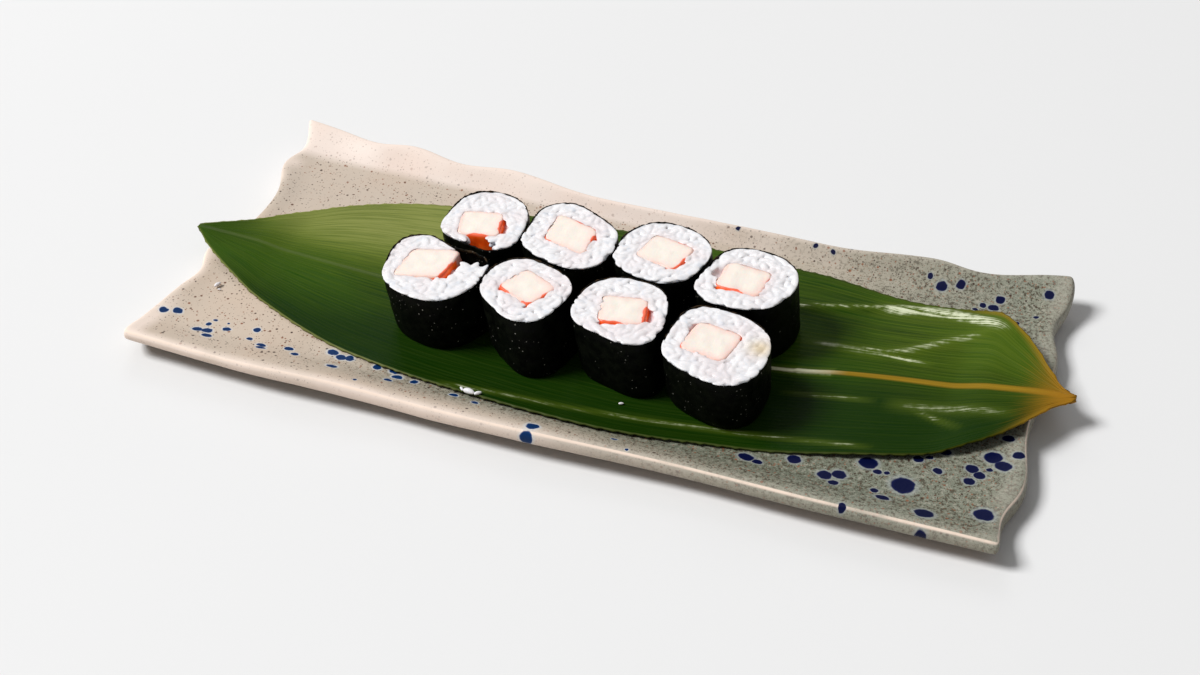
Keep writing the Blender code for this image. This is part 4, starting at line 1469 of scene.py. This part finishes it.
def trimmed(made, roll):
    """The knife flattens what stands over the cut; the wrap and the stick hold the rest back."""
    points = points_of(made)
    top = roll["top"]
    over = points[:, 2] - (top - CUT_BAND)
    points[:, 2] = np.where(over > 0, top - CUT_BAND + CUT_SQUEEZE * over, points[:, 2])
    level = np.clip((points[:, 2] - ROLL_BASE) / (top - ROLL_BASE), 0.0, 1.0)
    centre = centre_at(roll, level)
    offset = points[:, :2] - centre
    angle = np.arctan2(offset[:, 1], offset[:, 0])
    reach = np.hypot(offset[:, 0], offset[:, 1])
    free = smooth_step((points[:, 2] - (top - 1.5)) / 0.8)
    drag = knife_side(angle)
    limit = outline(roll, angle, level) - 0.75 + free * (1.02 * drag - 0.15 * (1.0 - drag))
    over = reach - limit
    held = np.where(over > 0, limit + 0.15 * np.tanh(over), reach)
    points[:, :2] = centre + offset * (held / np.maximum(reach, 0.01))[:, None]
    toward, away = from_stick(roll, points[:, 0], points[:, 1], level)
    least = box_reach(roll, toward - math.radians(roll["stick_turn"])) - 0.1
    # Here and there rice was smeared over the stick's edge.
    ring = ring_points(toward, 7.0, np.zeros_like(toward))
    smear = np.clip(soft_noise(ring, 2.0, roll["seed"] + 90) + 0.15, 0.0, 1.0)
    least = least - 1.3 * smear * smooth_step((points[:, 2] - (top - 0.5)) / 0.3)
    middle = stick_middle(roll, level)
    push = np.maximum(least / np.maximum(away, 0.01), 1.0)
    points[:, :2] = middle + (points[:, :2] - middle) * push[:, None]
    points[:, 2] = np.maximum(points[:, 2], ROLL_BASE)
    move_points(made, points)
    return points, toward, away


print("the knife squeezes what stands over the cut to", CUT_SQUEEZE)

# %% One roll's rice
STAINED_ROLL, STAIN_PLACE, STAIN_SPREAD = "front_4", (55.5, -24.0), 14.0


def rice_piece(roll, finish):
    """Makes a roll's rice as one piece; says how many grains and faces it has."""
    name = "grains_" + roll["name"]
    top = roll["top"]
    core = core_mesh(roll, top - 5.0, top - 0.95, (120, 24))
    rest = core_mesh(roll, ROLL_BASE, top - 4.6, (64, 16))
    grain_points, grain_faces, count = strew_grains(roll)
    made = welded(name, core, rest, grain_points, grain_faces)
    points, toward, away = trimmed(made, roll)
    beside = away - box_reach(roll, toward - math.radians(roll["stick_turn"]))
    mark(made, "blush", np.exp(-np.maximum(beside, 0.0) / 1.1))
    # Below the cut the rice is marked for a bluish-grey: painted shade in the pits and down the sides.
    mark(made, "painted_recess_shade", smooth_step((top - 0.45 - points[:, 2]) / 0.9))
    stain = np.zeros(len(points))
    if roll["name"] == STAINED_ROLL:
        from_stain = points[:, :2] - np.array(STAIN_PLACE)
        stain = np.exp(-(from_stain ** 2).sum(axis=1) / STAIN_SPREAD)
    mark(made, "stain", stain)
    add_piece(name, made, finish, ["rice_" + roll["name"]])
    return count, len(made.polygons)


print("one roll has a sauce stain:", STAINED_ROLL)

# %% Rice finish
RICE_WHITE = (0.85, 0.835, 0.85)
# RICE_CLEAR is the grains' clear tone, and also the colour of the painted shade under the cut.
RICE_CLEAR = (0.66, 0.70, 0.77)
RICE_ROSY = (0.82, 0.73, 0.74)
RICE_BLUSH = (0.82, 0.58, 0.54)
SAUCE = (0.68, 0.52, 0.28)
rice_finish, tree, shader, place = new_finish(
    "rice", Specular_IOR_Level=0.5, Subsurface_Weight=0.25, Subsurface_Scale=0.0014,
)
shader.inputs["Subsurface Radius"].default_value = (1.0, 0.9, 0.85)
starch = use_group(tree, unevenness, {"Place": place, "Broad scale": 380.0, "Fine scale": 3000.0})
blush = read_mark(tree, "blush")
stained = read_mark(tree, "stain")
painted_recess_shade = read_mark(tree, "painted_recess_shade")
colour = blend_colours(tree, ramp(tree, starch["Broad"], 0.5, 0.75, 0.0, 0.6), RICE_WHITE, RICE_CLEAR)
# Painted shade: bluish-grey in the pits between grains and down the sides.
colour = blend_colours(tree, times(tree, painted_recess_shade, 0.75), colour, RICE_CLEAR)
drift = noise_at(tree, place, 70.0, 1.0)
colour = blend_colours(tree, ramp(tree, drift, 0.45, 0.7, 0.0, 0.55), colour, RICE_ROSY)
colour = blend_colours(tree, times(tree, blush, 0.30), colour, RICE_BLUSH)
colour = blend_colours(tree, times(tree, stained, 0.75), colour, SAUCE)
tree.links.new(colour, shader.inputs["Base Color"])
tree.links.new(ramp(tree, starch["Broad"], 0.3, 0.7, 0.22, 0.45), shader.inputs["Roughness"])
add_bump(tree, shader, starch["Height"], 0.25, 0.2)
print("rice finish has", len(tree.nodes), "nodes")

# %% Making the rice
for name, roll in ROLLS.items():
    count, faces = rice_piece(roll, rice_finish)
    print(name, "has", count, "grains and", faces, "faces after welding")

# %% [markdown]
# ## Stray grains
# A few grains and crumbs fell off while the plate was dressed: some lie at the leaf's front edge
# and some on the glaze. They are the same grain as in the rolls, most of them broken short.

# %% Stray grains
# Each is x, y, height, turn in radians and half length.
STRAYS = {
    "stray_grain_leaf": (-24.0, -49.6, 8.3, -0.1, 1.9),
    "stray_crumb_leaf_1": (-21.2, -49.4, 8.3, 0.7, 1.2),
    "stray_crumb_leaf_2": (-26.6, -49.0, 8.1, -0.8, 0.9),
    "stray_crumb_leaf_3": (19.0, -38.5, 7.3, 0.4, 0.8),
    "stray_grain_plate": (-119.0, -28.0, 7.0, 1.2, 1.3),
    "stray_crumb_plate": (-117.6, -29.6, 6.6, 0.2, 0.6),
}
for name, (x, y, height, yaw, size) in STRAYS.items():
    turn = np.array(Matrix.Rotation(yaw, 3, "Z"))
    loose = bpy.data.meshes.new(name)
    rows = GRAIN_POINTS @ turn.T * size + np.array((x, y, height))
    loose.from_pydata((rows * MM).tolist(), [], GRAIN_FACES)
    for label in ("blush", "stain", "painted_recess_shade"):
        mark(loose, label, np.zeros(len(rows)))
    add_piece(name, loose, rice_finish, [])
print("stray grains and crumbs:", len(STRAYS))

# %% [markdown]
# ## Floor, light and camera
# The food stands on a plain pale floor. A soft key light from the left gives the rolls their
# short shadow on the leaf, a weaker one from behind puts the sheen on wax and glaze, and an even
# pale sky fills in the rest. The camera looks down along the plate from the front right.

# %% Floor
FLOOR_REACH = 20000.0


def floor_place(u, v):
    return np.stack((u * FLOOR_REACH, v * FLOOR_REACH, np.full_like(u, -0.05)), axis=1)


floor_mesh = grid_mesh("floor", (4, 4), floor_place)
floor_finish, tree, shader, place = new_finish("pale_floor", Roughness=0.9, Specular_IOR_Level=0.1)
tone = noise_at(tree, place, 3.0)
floor_colour = blend_colours(tree, tone, (0.80, 0.80, 0.80), (0.82, 0.82, 0.82))
tree.links.new(floor_colour, shader.inputs["Base Color"])
floor_mesh.materials.append(floor_finish)
floor = bpy.data.objects.new("floor", floor_mesh)
bpy.context.scene.collection.objects.link(floor)
print("floor laid")

# %% Light
world = bpy.data.worlds.new("pale studio")
bpy.context.scene.world = world
world.use_nodes = True
sky = world.node_tree.nodes["Background"].inputs
sky["Color"].default_value = (1.0, 1.0, 1.0, 1.0)
sky["Strength"].default_value = 0.22


def softbox(name, place, size, watts):
    """A square light, place and size in metres, that faces the middle of the plate."""
    light = bpy.data.lights.new(name, "AREA")
    light.shape = "SQUARE"
    light.size = size
    light.energy = watts
    made = bpy.data.objects.new(name, light)
    made.location = place
    made.rotation_euler = (-Vector(place)).to_track_quat("-Z", "Y").to_euler()
    bpy.context.scene.collection.objects.link(made)


softbox("key", (-3.9, -1.45, 4.9), 2.1, 445.0)
softbox("behind", (-1.9, 3.8, 3.3), 2.2, 26.0)
print("lights placed")

# %% Camera
AZIMUTH, ELEVATION, LEAN = (math.radians(degrees) for degrees in (20.449, 39.257, -0.378))
AIM = Vector((4.0, -15.42, 10.0)) * MM
DISTANCE = 546.79 * MM
backwards = Vector((
    math.sin(AZIMUTH) * math.cos(ELEVATION),
    -math.cos(AZIMUTH) * math.cos(ELEVATION),
    math.sin(ELEVATION),
))
right = Vector((math.cos(AZIMUTH), math.sin(AZIMUTH), 0.0))
upwards = backwards.cross(right)
level_right = right * math.cos(LEAN) + upwards * math.sin(LEAN)
level_up = upwards * math.cos(LEAN) - right * math.sin(LEAN)
camera = bpy.data.objects.new("camera", bpy.data.cameras.new("camera"))
camera.data.sensor_width = 36.0
camera.data.lens = 54.85
camera.data.clip_start = 0.01
turned = Matrix((level_right, level_up, backwards)).transposed().to_4x4()
camera.matrix_world = Matrix.Translation(AIM + backwards * DISTANCE) @ turned
bpy.context.scene.collection.objects.link(camera)
bpy.context.scene.camera = camera
bpy.context.scene.view_settings.view_transform = "Standard"
print("camera at", [round(part, 3) for part in camera.matrix_world.translation])

# %% [markdown]
# ## The last update
# The view layer is updated once more, so that every piece is current. The visual model
# has to stay inside the frame's box.

# %% Update the scene
bpy.context.view_layer.update()
